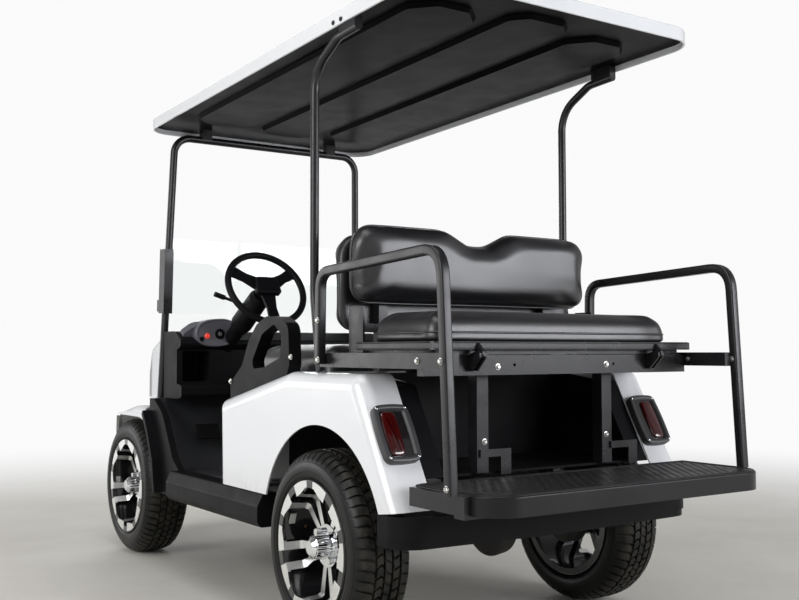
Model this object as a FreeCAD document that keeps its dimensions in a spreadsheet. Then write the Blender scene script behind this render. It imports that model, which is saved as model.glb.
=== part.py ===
# Golf cart with a rear-facing bench, built as a parametric document in millimetres.
# The cart stands on z = 0, its nose points to -Y and the driver's side is +X.
import FreeCAD, Part
import math
import os
import Sketcher

Vector = FreeCAD.Vector

doc = FreeCAD.newDocument("GolfCart")
sheet = doc.addObject("Spreadsheet::Sheet", "Sizes")

# Driving sizes in millimetres and degrees: name, value
driving_sizes = (
    # overall
    ("wheelbase", 1670), ("front_reach", 405), ("rear_reach", 745), ("body_half", 555),
    ("fit_gap", 0.3), ("running_gap", 0.05),
    # wheels
    ("tyre_radius", 279.4), ("tyre_width", 205), ("tyre_bead", 178), ("rim_lip", 191.5),
    ("rim_width", 176), ("rim_wall", 7), ("front_track_half", 450), ("rear_track_half", 492),
    ("hub_radius", 62), ("cap_radius", 29), ("spindle_radius", 13), ("shaft_radius", 16),
    ("spoke_pairs", 5), ("spoke_depth", 15), ("dish_depth", 60), ("spoke_spread", 11),
    ("lug_circle", 50.8),
    # ladder frame
    ("floor_top", 375), ("floor_skin", 12), ("floor_half", 498), ("rail_offset", 240),
    ("rail_width", 50), ("rail_height", 60), ("rear_rail_top", 446), ("front_rail_top", 412),
    ("front_rail_offset", 160), ("rail_lead", 290), ("rail_inset", 47), ("toe_setback", 380),
    ("toe_run", 135),
    # body mouldings
    ("shell_wall", 5), ("sill_bottom", 285), ("sill_depth", 75), ("kick_depth", 26),
    ("arch_radius", 350),
    ("body_crest", 781), ("body_bottom", 392), ("body_front", 690),
    ("body_nose_top", 676), ("crest_front", 209), ("crest_rear", -190), ("tail_slope", 29.3),
    ("tail_foot", 425), ("quarter_inner", 430), ("well_half", 368), ("well_floor", 500),
    ("liner_wall", 6), ("top_round", 45), ("seat_hole_half", 462),
    ("restraint_inner", 478), ("restraint_depth", 44),
    # nose
    ("cowl_top", 905), ("cowl_setback", 22), ("cowl_lead", 380), ("hood_half", 462),
    ("fender_half", 530), ("fender_top", 618), ("cowl_bottom", 400), ("front_arch_reach", 352),
    ("front_arch_top", 574), ("arch_lip", 16), ("lip_proud", 7), ("hood_round", 28),
    ("fender_round", 20), ("lamp_side", 236), ("lamp_height", 560), ("lamp_radius", 64),
    ("bulkhead_setback", 210), ("dash_setback", 32), ("dash_depth", 183), ("dash_top", 925),
    ("dash_bottom", 655), ("dash_half", 470), ("bulkhead_tube", 30),
    # steering
    ("wheel_side", 250), ("wheel_setback", 303), ("wheel_height", 1085), ("column_rise", 31),
    ("grip_radius", 155), ("grip_thickness", 13), ("kingpin_side", 362), ("kingpin_radius", 9),
    ("ear_height", 46), ("ear_thickness", 14), ("steer_arm", 125), ("rod_drop", 30),
    ("axle_tube", 31), ("beam_tube", 24), ("spring_seat", 65),
    # front bench
    ("bench_half", 450), ("pan_skin", 14), ("pan_rear", 130), ("pan_front", 655),
    ("lid_axis_ahead", 684), ("lid_axis_height", 712), ("lid_rise", 4), ("lid_side", 300),
    ("cushion_rise", 152), ("back_half", 466), ("back_gap", 24), ("back_height", 314),
    ("back_thickness", 88), ("notch_depth", 46), ("back_post_side", 330),
    # rear bench
    ("flip_axis_behind", 490), ("flip_axis_height", 834), ("flip_rise", 12), ("flip_side", 340),
    ("hinge_pin", 5), ("deck_height", 22), ("deck_half", 491), ("deck_front", -105),
    ("deck_rear", -478),
    ("rear_cushion_half", 462), ("rear_cushion_height", 84), ("rear_back_gap", 22),
    ("rear_back_height", 254), ("rear_back_thickness", 80), ("cross_rail_behind", 449),
    ("cross_rail_height", 54), ("leg_behind", 350), ("rail_hole_side", 190), ("rail_hole_radius", 4.5),
    # grab bars, footplate and bumpers
    ("bar_side", 548), ("bar_tube", 38), ("bar_foot", 495), ("bar_top", 1100),
    ("footplate_top", 500), ("footplate_half", 508), ("footplate_front", -428),
    ("footplate_skirt", 52), ("footplate_skin", 5), ("bumper_bottom", 330),
    ("bumper_height", 84), ("bumper_reach", 462),
    # canopy
    ("canopy_half", 530), ("canopy_rear", -500), ("canopy_lead", 40), ("canopy_edge", 1792),
    ("canopy_band", 45), ("canopy_crown", 34), ("canopy_fall", 1.43), ("canopy_wall", 6),
    ("liner_level", 20), ("liner_skin", 5), ("panel_depth", 13),
    ("hoop_tube", 30), ("hoop_foot_half", 469), ("hoop_head_half", 437), ("hoop_lean", 2.5),
    ("hoop_top", 1732), ("strut_side", 509), ("strut_tube", 27), ("pane_skin", 6),
    ("pane_top", 1313), ("pane_fold_bottom", 1001), ("sleeve_side", 456), ("sleeve_half", 19),
)


class Size:
    # A number together with the spreadsheet formula that gives it.
    def __init__(self, value, text):
        self.value = float(value)
        self.text = text

    @staticmethod
    def of(other):
        return other if isinstance(other, Size) else Size(other, repr(float(other)))

    def __add__(self, other):
        other = Size.of(other)
        return Size(self.value + other.value, "(%s + %s)" % (self.text, other.text))

    def __radd__(self, other):
        return Size.of(other) + self

    def __sub__(self, other):
        other = Size.of(other)
        return Size(self.value - other.value, "(%s - %s)" % (self.text, other.text))

    def __rsub__(self, other):
        return Size.of(other) - self

    def __mul__(self, other):
        other = Size.of(other)
        return Size(self.value * other.value, "(%s * %s)" % (self.text, other.text))

    def __rmul__(self, other):
        return Size.of(other) * self

    def __truediv__(self, other):
        other = Size.of(other)
        return Size(self.value / other.value, "(%s / %s)" % (self.text, other.text))

    def __neg__(self):
        return Size(-self.value, "(-1 * %s)" % self.text)

    def __float__(self):
        return self.value


class Cart:
    # The driving sizes as attributes, each bound to its cell.
    pass


def sine(angle):
    return Size(math.sin(math.radians(angle.value)), "sin(%s * 1 deg)" % angle.text)


def cosine(angle):
    return Size(math.cos(math.radians(angle.value)), "cos(%s * 1 deg)" % angle.text)


def tangent(angle):
    return Size(math.tan(math.radians(angle.value)), "tan(%s * 1 deg)" % angle.text)


cart = Cart()
for row, (alias, value) in enumerate(driving_sizes, start=1):
    sheet.set("A%d" % row, alias)
    sheet.set("B%d" % row, str(value))
    sheet.setAlias("B%d" % row, alias)
doc.recompute()
for alias, value in driving_sizes:
    setattr(cart, alias, Size(sheet.get(alias), "Sizes." + alias))

# Places ahead of the rear axle that follow from the front axle
cart.toe_foot = cart.wheelbase - cart.toe_setback
cart.toe_head = cart.toe_foot + cart.toe_run
cart.rail_front = cart.wheelbase + cart.rail_lead
cart.bulkhead = cart.wheelbase - cart.bulkhead_setback
cart.cowl_rear = cart.bulkhead + cart.cowl_setback
cart.cowl_nose = cart.wheelbase + cart.cowl_lead
cart.dash_front = cart.bulkhead - cart.dash_setback
cart.dash_rear = cart.dash_front - cart.dash_depth
cart.wheel_ahead = cart.dash_rear - cart.wheel_setback
cart.canopy_front = cart.bulkhead + cart.canopy_lead

# Heights of the benches, each stacked on its hinge's axis
cart.pan_under = cart.lid_axis_height + cart.lid_rise
cart.cushion_top = cart.pan_under + cart.cushion_rise
cart.back_bottom = cart.cushion_top + cart.back_gap
cart.back_top = cart.back_bottom + cart.back_height
cart.deck_under = cart.flip_axis_height + cart.flip_rise
cart.rear_cushion_top = cart.deck_under + cart.deck_height + cart.rear_cushion_height
cart.rear_back_bottom = cart.rear_cushion_top + cart.rear_back_gap
cart.cross_rail_top = cart.flip_axis_height - 2
cart.cross_rail_bottom = cart.cross_rail_top - cart.cross_rail_height
cart.rail_rear = cart.bumper_reach - cart.rail_inset

# The origin lies midway between the bumper's face and the footplate's rear edge.
rear_axle_y = (cart.wheelbase + cart.front_reach - cart.rear_reach) / 2
nodes = []


def ahead(distance):
    # Y of a place that lies this far in front of the rear axle.
    return rear_axle_y - distance


def bind(thing, **properties):
    for name, size in properties.items():
        thing.setExpression(name, Size.of(size).text)
    return thing


def place(thing, x=0, y=0, z=0, turn=None, about=Vector(1, 0, 0)):
    # Puts a thing at x, y, z, turned by an angle about an axis through its own origin.
    if turn is not None:
        thing.Placement = FreeCAD.Placement(Vector(), FreeCAD.Rotation(about, float(turn)))
    for axis, size in (("x", x), ("y", y), ("z", z)):
        thing.setExpression("Placement.Base." + axis, Size.of(size).text)
    return thing


def node(thing, label):
    thing.Label = label
    nodes.append(thing)
    return thing


def box(name, x, y, z):
    # A block between pairs of limits.
    block = doc.addObject("Part::Box", name)
    bind(block, Length=Size.of(x[1]) - x[0], Width=Size.of(y[1]) - y[0], Height=Size.of(z[1]) - z[0])
    return place(block, x[0], y[0], z[0])


def cylinder(name, radius, length, at, axis="z"):
    # A cylinder from a point along +x, +y or +z.
    thing = doc.addObject("Part::Cylinder", name)
    bind(thing, Radius=radius, Height=length)
    turns = {"x": (90, Vector(0, 1, 0)), "y": (-90, Vector(1, 0, 0)), "z": (0, Vector(0, 0, 1))}
    turn, about = turns[axis]
    return place(thing, *at, turn=turn, about=about)


def fuse(name, *parts):
    thing = doc.addObject("Part::MultiFuse", name)
    thing.Shapes = list(parts)
    thing.Refine = True
    return thing


def cut(name, base, *tools):
    tool = tools[0] if len(tools) == 1 else group(name + "Tools", *tools)
    thing = doc.addObject("Part::Cut", name)
    thing.Base = base
    thing.Tool = tool
    thing.Refine = True
    return thing


def mirrored(name, thing):
    twin = doc.addObject("Part::Mirroring", name)
    twin.Source = thing
    twin.Normal = Vector(1, 0, 0)
    return twin


def common(name, base, tool):
    thing = doc.addObject("Part::Common", name)
    thing.Base = base
    thing.Tool = tool
    thing.Refine = True
    return thing


def group(name, *parts):
    # Solids that do not touch, kept together.
    thing = doc.addObject("Part::Compound", name)
    thing.Links = list(parts)
    return thing


def corner(before, point, after, radius):
    # The arc that rounds one corner of an outline: ends, centre and turning side.
    arrive = (point - before).normalize()
    leave = (after - point).normalize()
    turn = math.atan2(arrive.x * leave.y - arrive.y * leave.x, arrive.dot(leave))
    reach = radius * math.tan(abs(turn) / 2)
    side = 1 if turn > 0 else -1
    start = point - arrive * reach
    end = point + leave * reach
    centre = start + Vector(-arrive.y * side, arrive.x * side, 0) * radius
    return start, end, centre, side


def outline(body, plane, rows, offset=0, closed=True, name="Outline"):
    # A sketch through rows of (across, up, corner radius), every value bound to the sheet.
    sketch = body.newObject("Sketcher::SketchObject", name)
    for feature in body.Origin.OriginFeatures:
        if feature.Role == plane:
            sketch.AttachmentSupport = [(feature, "")]
    sketch.MapMode = "FlatFace"
    sketch.setExpression("AttachmentOffset.Base.z", Size.of(offset).text)
    rows = [[Size.of(entry) for entry in row] for row in rows]
    points = [Vector(row[0].value, row[1].value, 0) for row in rows]
    count = len(rows)
    spans = count if closed else count - 1
    arcs = {}
    for index, row in enumerate(rows):
        at_end = not closed and index in (0, count - 1)
        if len(row) > 2 and row[2].value > 0 and not at_end:
            after = points[(index + 1) % count]
            arcs[index] = corner(points[index - 1], points[index], after, row[2].value)
    leaving = [arcs[index][1] if index in arcs else points[index] for index in range(count)]
    arriving = [arcs[index][0] if index in arcs else points[index] for index in range(count)]
    shapes = [Part.LineSegment(leaving[index], arriving[(index + 1) % count]) for index in range(spans)]
    arc_at, mark_at = {}, {}
    for index, (start, end, centre, side) in arcs.items():
        first, last = (start, end) if side > 0 else (end, start)
        low = math.atan2(first.y - centre.y, first.x - centre.x)
        high = math.atan2(last.y - centre.y, last.x - centre.x)
        high += 2 * math.pi if high < low else 0
        circle = Part.Circle(centre, Vector(0, 0, 1), rows[index][2].value)
        arc_at[index] = len(shapes)
        shapes.append(Part.ArcOfCircle(circle, low, high))
        mark_at[index] = len(shapes)
        shapes.append(Part.Point(points[index]))
    sketch.addGeometry(shapes, False)
    for mark in mark_at.values():
        sketch.toggleConstruction(mark)
    rules, bound = [], []
    for index, row in enumerate(rows):
        before = (index - 1) % count if closed or index > 0 else None
        after = index if index < spans else None
        if index in arcs:
            arc, mark = arc_at[index], mark_at[index]
            start, end = (1, 2) if arcs[index][3] > 0 else (2, 1)
            rules.append(Sketcher.Constraint("Tangent", before, 2, arc, start))
            rules.append(Sketcher.Constraint("Tangent", arc, end, after, 1))
            rules.append(Sketcher.Constraint("PointOnObject", mark, 1, before))
            rules.append(Sketcher.Constraint("PointOnObject", mark, 1, after))
            bound.append((len(rules), row[2]))
            rules.append(Sketcher.Constraint("Radius", arc, row[2].value))
            where = (mark, 1)
        else:
            if before is not None and after is not None:
                rules.append(Sketcher.Constraint("Coincident", before, 2, after, 1))
            where = (after, 1) if after is not None else (before, 2)
        for kind, entry in (("DistanceX", row[0]), ("DistanceY", row[1])):
            bound.append((len(rules), entry))
            rules.append(Sketcher.Constraint(kind, -1, 1, *where, entry.value))
    sketch.addConstraint(rules)
    for index, entry in bound:
        sketch.setExpression("Constraints[%d]" % index, entry.text)
    return sketch


def side_rows(rows):
    # Rows given as (distance ahead of the rear axle, height, radius) for a side outline.
    return [(ahead(row[0]),) + tuple(row[1:]) for row in rows]


def plan_rows(rows):
    # Rows given as (x, distance ahead of the rear axle, radius) for a plan outline.
    return [(row[0], ahead(row[1])) + tuple(row[2:]) for row in rows]


def pad(body, sketch, length, midplane=False, reverse=False, taper=0, name="Pad"):
    feature = body.newObject("PartDesign::Pad", name)
    feature.Profile = sketch
    feature.Midplane = midplane
    feature.Reversed = reverse
    feature.setExpression("Length", Size.of(length).text)
    if taper:
        feature.TaperAngle = taper
    return feature


def pocket(body, sketch, length, midplane=False, reverse=False, name="Pocket"):
    feature = body.newObject("PartDesign::Pocket", name)
    feature.Profile = sketch
    feature.Midplane = midplane
    feature.Reversed = reverse
    feature.setExpression("Length", Size.of(length).text)
    return feature


def prism(name, plane, rows, start, length):
    # A body padded from an outline, along +X from YZ, along +Z from XY, along -Y from XZ.
    body = doc.addObject("PartDesign::Body", name)
    pad(body, outline(body, plane, rows, offset=start), length)
    return body


def slab(name, rows, half):
    # A side outline padded the same way to both sides of the middle plane.
    body = doc.addObject("PartDesign::Body", name)
    pad(body, outline(body, "YZ_Plane", rows), Size.of(half) * 2, midplane=True)
    return body


def fillet(body, radius, pick, name="Fillet"):
    # Rounds the edges of the body's tip that the pick function accepts.
    doc.recompute()
    base = body.Tip
    edges = ["Edge%d" % (index + 1) for index, edge in enumerate(base.Shape.Edges) if pick(edge)]
    feature = body.newObject("PartDesign::Fillet", name)
    feature.Base = (base, edges)
    feature.setExpression("Radius", Size.of(radius).text)
    return body


def lies_at(axis, *values):
    # Picks edges that lie wholly in one of the planes axis = value.
    def pick(edge):
        low = getattr(edge.BoundBox, axis + "Min")
        high = getattr(edge.BoundBox, axis + "Max")
        return any(abs(low - float(v)) < 0.01 and abs(high - float(v)) < 0.01 for v in values)
    return pick


def sides_above(half, floor):
    # Picks the edges of a cushion's two sides that lie above a height.
    on_side = lies_at("X", half, -half)

    def pick(edge):
        return on_side(edge) and edge.BoundBox.ZMin > float(floor)
    return pick


def pipe(name, plane, rows, section, offset=0, closed=False):
    # A tube along an outline: section is ("round", diameter) or ("square", side, corner).
    body = doc.addObject("PartDesign::Body", name)
    path = outline(body, plane, rows, offset=offset, closed=closed, name="Path")
    profile = body.newObject("Sketcher::SketchObject", "Section")
    profile.AttachmentSupport = [(path, "Edge1")]
    profile.MapMode = "NormalToEdge"
    profile.MapPathParameter = 0
    if section[0] == "round":
        radius = Size.of(section[1]) / 2
        profile.addGeometry(Part.Circle(Vector(), Vector(0, 0, 1), radius.value), False)
        profile.addConstraint([Sketcher.Constraint("Coincident", 0, 3, -1, 1),
                               Sketcher.Constraint("Radius", 0, radius.value)])
        profile.setExpression("Constraints[1]", radius.text)
    else:
        half = Size.of(section[1]) / 2
        signs = ((1, 1), (-1, 1), (-1, -1), (1, -1))
        corners = [Vector(u * half.value, v * half.value, 0) for u, v in signs]
        for index in range(4):
            profile.addGeometry(Part.LineSegment(corners[index], corners[(index + 1) % 4]), False)
        rules = [Sketcher.Constraint("Coincident", index, 2, (index + 1) % 4, 1) for index in range(4)]
        for index, (u, v) in enumerate(signs):
            rules.append(Sketcher.Constraint("DistanceX", -1, 1, index, 1, u * half.value))
            rules.append(Sketcher.Constraint("DistanceY", -1, 1, index, 1, v * half.value))
        profile.addConstraint(rules)
        for index, (u, v) in enumerate(signs):
            profile.setExpression("Constraints[%d]" % (4 + 2 * index), (half * u).text)
            profile.setExpression("Constraints[%d]" % (5 + 2 * index), (half * v).text)
    sweep = body.newObject("PartDesign::AdditivePipe", "Sweep")
    sweep.Profile = profile
    sweep.Spine = (path, [])
    return body


def turned(name, rows):
    # A body of revolution: rows are (across, up) about its own Z axis.
    body = doc.addObject("PartDesign::Body", name)
    sketch = outline(body, "XZ_Plane", rows)
    feature = body.newObject("PartDesign::Revolution", "Revolution")
    feature.Profile = sketch
    feature.ReferenceAxis = (sketch, ["V_Axis"])
    feature.Angle = 360
    return body


# Ladder frame

def chassis_frame():
    c = cart
    mid_top = c.floor_top - c.floor_skin
    rear_rows = side_rows([
        (-c.rail_rear, c.rear_rail_top - c.rail_height), (330, c.rear_rail_top - c.rail_height),
        (430, mid_top - c.rail_height), (c.toe_foot - 65, mid_top - c.rail_height),
        (c.toe_foot - 65, mid_top),
        (447, mid_top), (347, c.rear_rail_top), (-c.rail_rear, c.rear_rail_top)])
    front_rows = side_rows([
        (c.toe_foot - 115, mid_top - c.rail_height), (c.toe_foot + 25, mid_top - c.rail_height),
        (c.toe_foot + 125, c.front_rail_top - c.rail_height),
        (c.rail_front, c.front_rail_top - c.rail_height),
        (c.rail_front, c.front_rail_top), (c.toe_foot + 110, c.front_rail_top),
        (c.toe_foot + 10, mid_top),
        (c.toe_foot - 115, mid_top)])
    rails = []
    for side in (-1, 1):
        for rows, offset in ((rear_rows, c.rail_offset), (front_rows, c.front_rail_offset)):
            rails.append(prism("Rail", "YZ_Plane", rows, side * offset - c.rail_width / 2,
                               c.rail_width))
    bars = []
    # cross bars: distance ahead, top, offset of the rails that they join
    for distance, top, offset in ((-400, c.rear_rail_top, c.rail_offset), (480, mid_top, c.rail_offset),
                                  (c.toe_foot - 90, mid_top, c.rail_offset),
                                  (c.rail_front - 30, c.front_rail_top, c.front_rail_offset)):
        inner = offset - c.rail_width / 2
        bars.append(box("CrossBar", (-inner, inner), (ahead(distance + 25), ahead(distance - 25)),
                        (top - 40, top)))
    half_tube = c.bulkhead_tube / 2
    post_y = (ahead(c.bulkhead) - half_tube, ahead(c.bulkhead) + half_tube)
    head = c.dash_bottom - c.bulkhead_tube
    for side in (-1, 1):
        post_x = c.front_rail_offset * side
        bars.append(box("BulkheadPost", (post_x - half_tube, post_x + half_tube), post_y,
                        (mid_top - 8, head)))
    bars.append(box("BulkheadBar", (-c.hoop_foot_half - half_tube, c.hoop_foot_half + half_tube),
                    post_y, (head, c.dash_bottom)))
    return node(fuse("ChassisFrame", *rails, *bars), "chassis_frame")


def floor_pan():
    c = cart
    under = c.floor_top - c.floor_skin
    run = 14
    rows = side_rows([(c.body_front + 8, under), (c.toe_foot + 5, under),
                      (c.toe_head + 2, c.dash_bottom - 0.5),
                      (c.toe_head - 12, c.dash_bottom - 0.5), (c.toe_foot - 2, c.floor_top),
                      (c.body_front + 8, c.floor_top)])
    floor = slab("Floor", rows, c.floor_half)
    ribs = []
    for index in range(9):
        x = c.floor_half * (index - 4) / 4.8
        ribs.append(box("Rib", (x - run, x + run), (ahead(c.toe_foot - 50), ahead(c.body_front + 50)),
                        (c.floor_top, c.floor_top + 4)))
    return node(fuse("FloorPan", floor, *ribs), "floor_pan")


def sill_panels():
    # Black mouldings under the door openings, each rising behind the front wheel with an outer wing.
    c = cart
    inner = c.floor_half + 0.5
    outer = c.floor_half + c.sill_depth
    sill_top = c.body_bottom - 1
    toe = c.toe_foot
    rear = Size.of(355)
    section = [(inner, c.sill_bottom), (outer - 13, c.sill_bottom, 8), (outer, c.sill_bottom + 18, 10),
               (outer, sill_top - 39, 14), (outer - 20, sill_top, 8), (inner, sill_top)]
    sill = doc.addObject("PartDesign::Body", "Sill")
    pad(sill, outline(sill, "XZ_Plane", section, offset=-ahead(rear)), toe - 160 - rear)
    kick_rows = side_rows([
        (toe - 162, c.sill_bottom), (toe + 15, c.sill_bottom, 12), (toe + 40, 410, 60),
        (toe + 98, 520, 60),
        (toe + 148, 590), (toe + 148, c.dash_bottom - 1), (toe + 106, c.dash_bottom - 1, 30),
        (toe + 10, 600, 120), (toe - 100, 430, 60), (toe - 162, sill_top)])
    kick = prism("Kick", "YZ_Plane", kick_rows, inner, c.kick_depth)
    wing_rows = side_rows([
        (toe + 2, c.sill_bottom + 6), (toe + 14, c.sill_bottom + 6), (toe + 40, 410, 60),
        (toe + 98, 520, 60),
        (toe + 148, 590), (toe + 136, 606), (toe + 84, 530, 60), (toe + 26, 418, 60)])
    wing = prism("KickWing", "YZ_Plane", wing_rows, inner + c.kick_depth - 1, 36)
    left = fuse("SillLeft", sill, kick, wing)
    return node(group("SillPanels", left, mirrored("SillRight", left)), "sill_panels")


# Nose

def fender_block(name, inset, sunk):
    # The fenders as one block, its plan drawn in by an inset and its top sunk.
    c = cart
    half = c.fender_half - inset
    nose = c.cowl_nose - inset
    shoulder = c.cowl_nose - 250
    cheek = c.cowl_nose - 65
    rows = plan_rows([
        (half, c.bulkhead - 125), (half, shoulder, 160),
        (470 - inset, cheek, 90), (330 - inset, nose, 120),
        (-330 + inset, nose, 120), (-470 + inset, cheek, 90),
        (-half, shoulder, 160), (-half, c.bulkhead - 125)])
    body = doc.addObject("PartDesign::Body", name)
    pad(body, outline(body, "XY_Plane", rows, offset=c.cowl_bottom - inset),
        c.fender_top + 40 - c.cowl_bottom)
    top = c.fender_top - sunk
    tip = c.cowl_nose - sunk
    over = side_rows([
        (c.bulkhead - 160, top), (c.wheelbase - 70, top, 200), (c.cowl_nose - 150, top - 58, 200),
        (tip + 30, 440),
        (c.cowl_nose + 90, 440), (c.cowl_nose + 90, c.fender_top + 480),
        (c.bulkhead - 160, c.fender_top + 480)])
    pocket(body, outline(body, "YZ_Plane", over), 1200, midplane=True)
    return body


def cowl_block(name, inset):
    # The nose as one block, drawn in by an even inset: a tall hood on wider fenders.
    c = cart
    half = c.hood_half - inset
    nose = c.cowl_nose
    tip = nose - 25 - inset
    hood_rows = plan_rows([
        (half, c.cowl_rear), (half, c.cowl_rear + 103, 60),
        (395 - inset, nose - 260, 200), (300 - inset, tip, 110),
        (-300 + inset, tip, 110), (-395 + inset, nose - 260, 200),
        (-half, c.cowl_rear + 103, 60), (-half, c.cowl_rear)])
    hood = doc.addObject("PartDesign::Body", name + "Hood")
    pad(hood, outline(hood, "XY_Plane", hood_rows, offset=c.cowl_bottom - inset),
        c.cowl_top + 60 - c.cowl_bottom)
    above = side_rows([
        (c.cowl_rear - 30, c.cowl_top - inset), (c.cowl_rear + 48, c.cowl_top - 12 - inset, 90),
        (nose - 120, c.cowl_top - 205 - inset, 140), (nose + 40 - inset, 470), (nose + 90, 470),
        (nose + 90, c.cowl_top + 195), (c.cowl_rear - 30, c.cowl_top + 195)])
    pocket(hood, outline(hood, "YZ_Plane", above), 1200, midplane=True)
    fillet(hood, c.hood_round - inset, crown_edges(c.cowl_bottom - inset))
    fender = fender_block(name + "Fender", inset, inset)
    fillet(fender, c.fender_round - inset, crown_edges(c.cowl_bottom - inset))
    return fuse(name, hood, fender)


def crown_edges(foot):
    # Picks the edges between a nose block's top surface and its sides.
    def pick(edge):
        box_ = edge.BoundBox
        upright = box_.XLength < 0.01 and box_.YLength < 0.01
        across = box_.YLength < 0.01
        return not upright and not across and box_.ZMin > float(foot) + 5
    return pick


def arch_rows(grow):
    # The front wheel arch: room for the tyre at full lock, low over its top.
    c = cart
    reach = c.front_arch_reach + grow
    top = c.front_arch_top + grow
    base = c.wheelbase
    return side_rows([
        (base - reach, 200), (base - reach, 380, 120), (base - reach + 122, top, 190),
        (base + reach - 122, top, 190), (base + reach, 380, 120), (base + reach, 200)])


def front_cowl():
    # Shell with flared arch lips, open under, with a hole for each headlamp.
    c = cart
    wide = c.fender_half + 30
    lip_plan = fender_block("LipPlan", -c.lip_proud, c.shell_wall)
    lip_ring = prism("LipRing", "YZ_Plane", arch_rows(c.arch_lip), -wide, wide * 2)
    outer = fuse("CowlOuterLipped", cowl_block("CowlOuter", Size.of(0)),
                 common("ArchLips", lip_plan, lip_ring))
    inner = cowl_block("CowlInner", c.shell_wall)
    arch = prism("FrontArch", "YZ_Plane", arch_rows(Size.of(0)), -wide, wide * 2)
    rear_cut = box("CowlRearCut", (-wide, wide), (ahead(c.cowl_rear), ahead(c.bulkhead - 160)),
                   (300, 1000))
    lamps = []
    for side in (-1, 1):
        lamps.append(cylinder("LampHole", c.lamp_radius, 200,
                              (side * c.lamp_side, ahead(c.cowl_nose + 60), c.lamp_height), "y"))
    return node(cut("FrontCowl", outer, inner, arch, rear_cut, *lamps), "front_cowl")


def headlamps():
    # Bowls with a shallow domed glass in front.
    c = cart
    radius = c.lamp_radius - c.fit_gap
    lamps = []
    for side in (-1, 1):
        bowl = turned("LampBowl", [(0, 0), (radius, 0), (radius, 70), (radius - 4, 76, 6), (0, 92)])
        lamps.append(place(bowl, side * c.lamp_side, ahead(c.cowl_nose - 82), c.lamp_height, turn=90))
    return node(group("Headlamps", *lamps), "headlamps")


def front_bumper():
    c = cart
    face = c.wheelbase + c.front_reach
    half = Size.of(448)
    low = Size.of(318)
    rows = plan_rows([
        (half, face - 66, 16), (half - 18, face - 12, 38), (0, face, 900), (18 - half, face - 12, 38),
        (-half, face - 66, 16), (34 - half, face - 66, 10), (44 - half, face - 44, 16),
        (0, face - 32, 900),
        (half - 44, face - 44, 16), (half - 34, face - 66, 10)])
    body = prism("BumperBar", "XY_Plane", rows, low, c.cowl_bottom - c.fit_gap - low)
    stubs = []
    for side in (-1, 1):
        x = c.front_rail_offset * side
        stubs.append(box("BumperStub", (x - 20, x + 20), (ahead(face - 34), ahead(c.rail_front)),
                         (356, 394)))
    return node(fuse("FrontBumper", body, *stubs), "front_bumper")


def dash_block(name):
    # The dash as one full-width block with a rolled top and a lower ledge.
    c = cart
    rows = side_rows([
        (c.dash_front, c.dash_bottom), (c.dash_front, c.dash_top), (c.dash_rear + 70, c.dash_top, 40),
        (c.dash_rear, c.dash_top - 42, 16), (c.dash_rear + 12, c.dash_top - 63, 10),
        (c.dash_rear + 45, c.dash_top - 75),
        (c.dash_rear + 45, c.dash_bottom + 61), (c.dash_rear - 5, c.dash_bottom + 53, 12),
        (c.dash_rear - 5, c.dash_bottom + 8, 14),
        (c.dash_rear + 40, c.dash_bottom, 20)])
    return slab(name, rows, c.dash_half)


def dashboard():
    # The block with its open bins and the hole for the steering column.
    c = cart
    dash = dash_block("Dash")
    floor_z = c.dash_bottom + 67
    roof_z = c.dash_top - 79
    # bins: inner and outer side
    for low, high in ((330, 446), (-446, -262), (-240, 165)):
        bin_rows = [(low, floor_z, 12), (high, floor_z, 12), (high, roof_z, 12), (low, roof_z, 12)]
        sketch = outline(dash, "XZ_Plane", bin_rows, offset=-ahead(c.dash_front - 16), name="Bin")
        pocket(dash, sketch, 300, name="BinPocket")
    column = column_bar("ColumnHole", 31, 300, 160)
    return node(cut("Dashboard", dash, column), "dashboard")


def instrument_pod():
    # An almond-shaped panel that stands on the dash beside the column.
    c = cart
    pod = doc.addObject("PartDesign::Body", "Pod")
    rows = [(102, 0, 20), (52, 46, 60), (-40, 52, 60), (-76, 32, 20), (-76, -32, 20), (-40, -52, 60),
            (52, -46, 60)]
    pad(pod, outline(pod, "XY_Plane", rows), 42)
    fillet(pod, 9, lies_at("Z", 42))
    place(pod, c.wheel_side + 108, ahead(c.dash_rear + 31), c.dash_top - 20, turn=62)
    return node(cut("InstrumentPod", pod, dash_block("PodSeat")), "instrument_pod")


# Steering

def down_column(distance):
    # The place on the column's axis this far below the steering wheel's centre.
    c = cart
    return (c.wheel_side, ahead(c.wheel_ahead) - cosine(c.column_rise) * distance,
            c.wheel_height - sine(c.column_rise) * distance)


def column_bar(name, radius, start, length):
    bar = doc.addObject("Part::Cylinder", name)
    bind(bar, Radius=radius, Height=length)
    return place(bar, *down_column(start), turn=cart.column_rise + 90)


def steering_column():
    c = cart
    shroud = turned("Shroud", [(0, 46), (32, 46), (41, 70, 12), (44, 250, 20), (30.7, 300), (30.7, 450),
                               (0, 450)])
    place(shroud, *down_column(0), turn=c.column_rise + 90)
    stalk = doc.addObject("Part::Cylinder", "Stalk")
    bind(stalk, Radius=6, Height=108)
    stalk_y = ahead(c.wheel_ahead + 110)
    place(stalk, c.wheel_side + 30, stalk_y, c.wheel_height - 65, turn=72, about=Vector(0, 1, 0))
    knob = doc.addObject("Part::Cylinder", "StalkKnob")
    bind(knob, Radius=10, Height=42)
    place(knob, c.wheel_side + 124, stalk_y, c.wheel_height - 34.5, turn=72, about=Vector(0, 1, 0))
    return node(fuse("SteeringColumn", shroud, stalk, knob), "steering_column")


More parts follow.
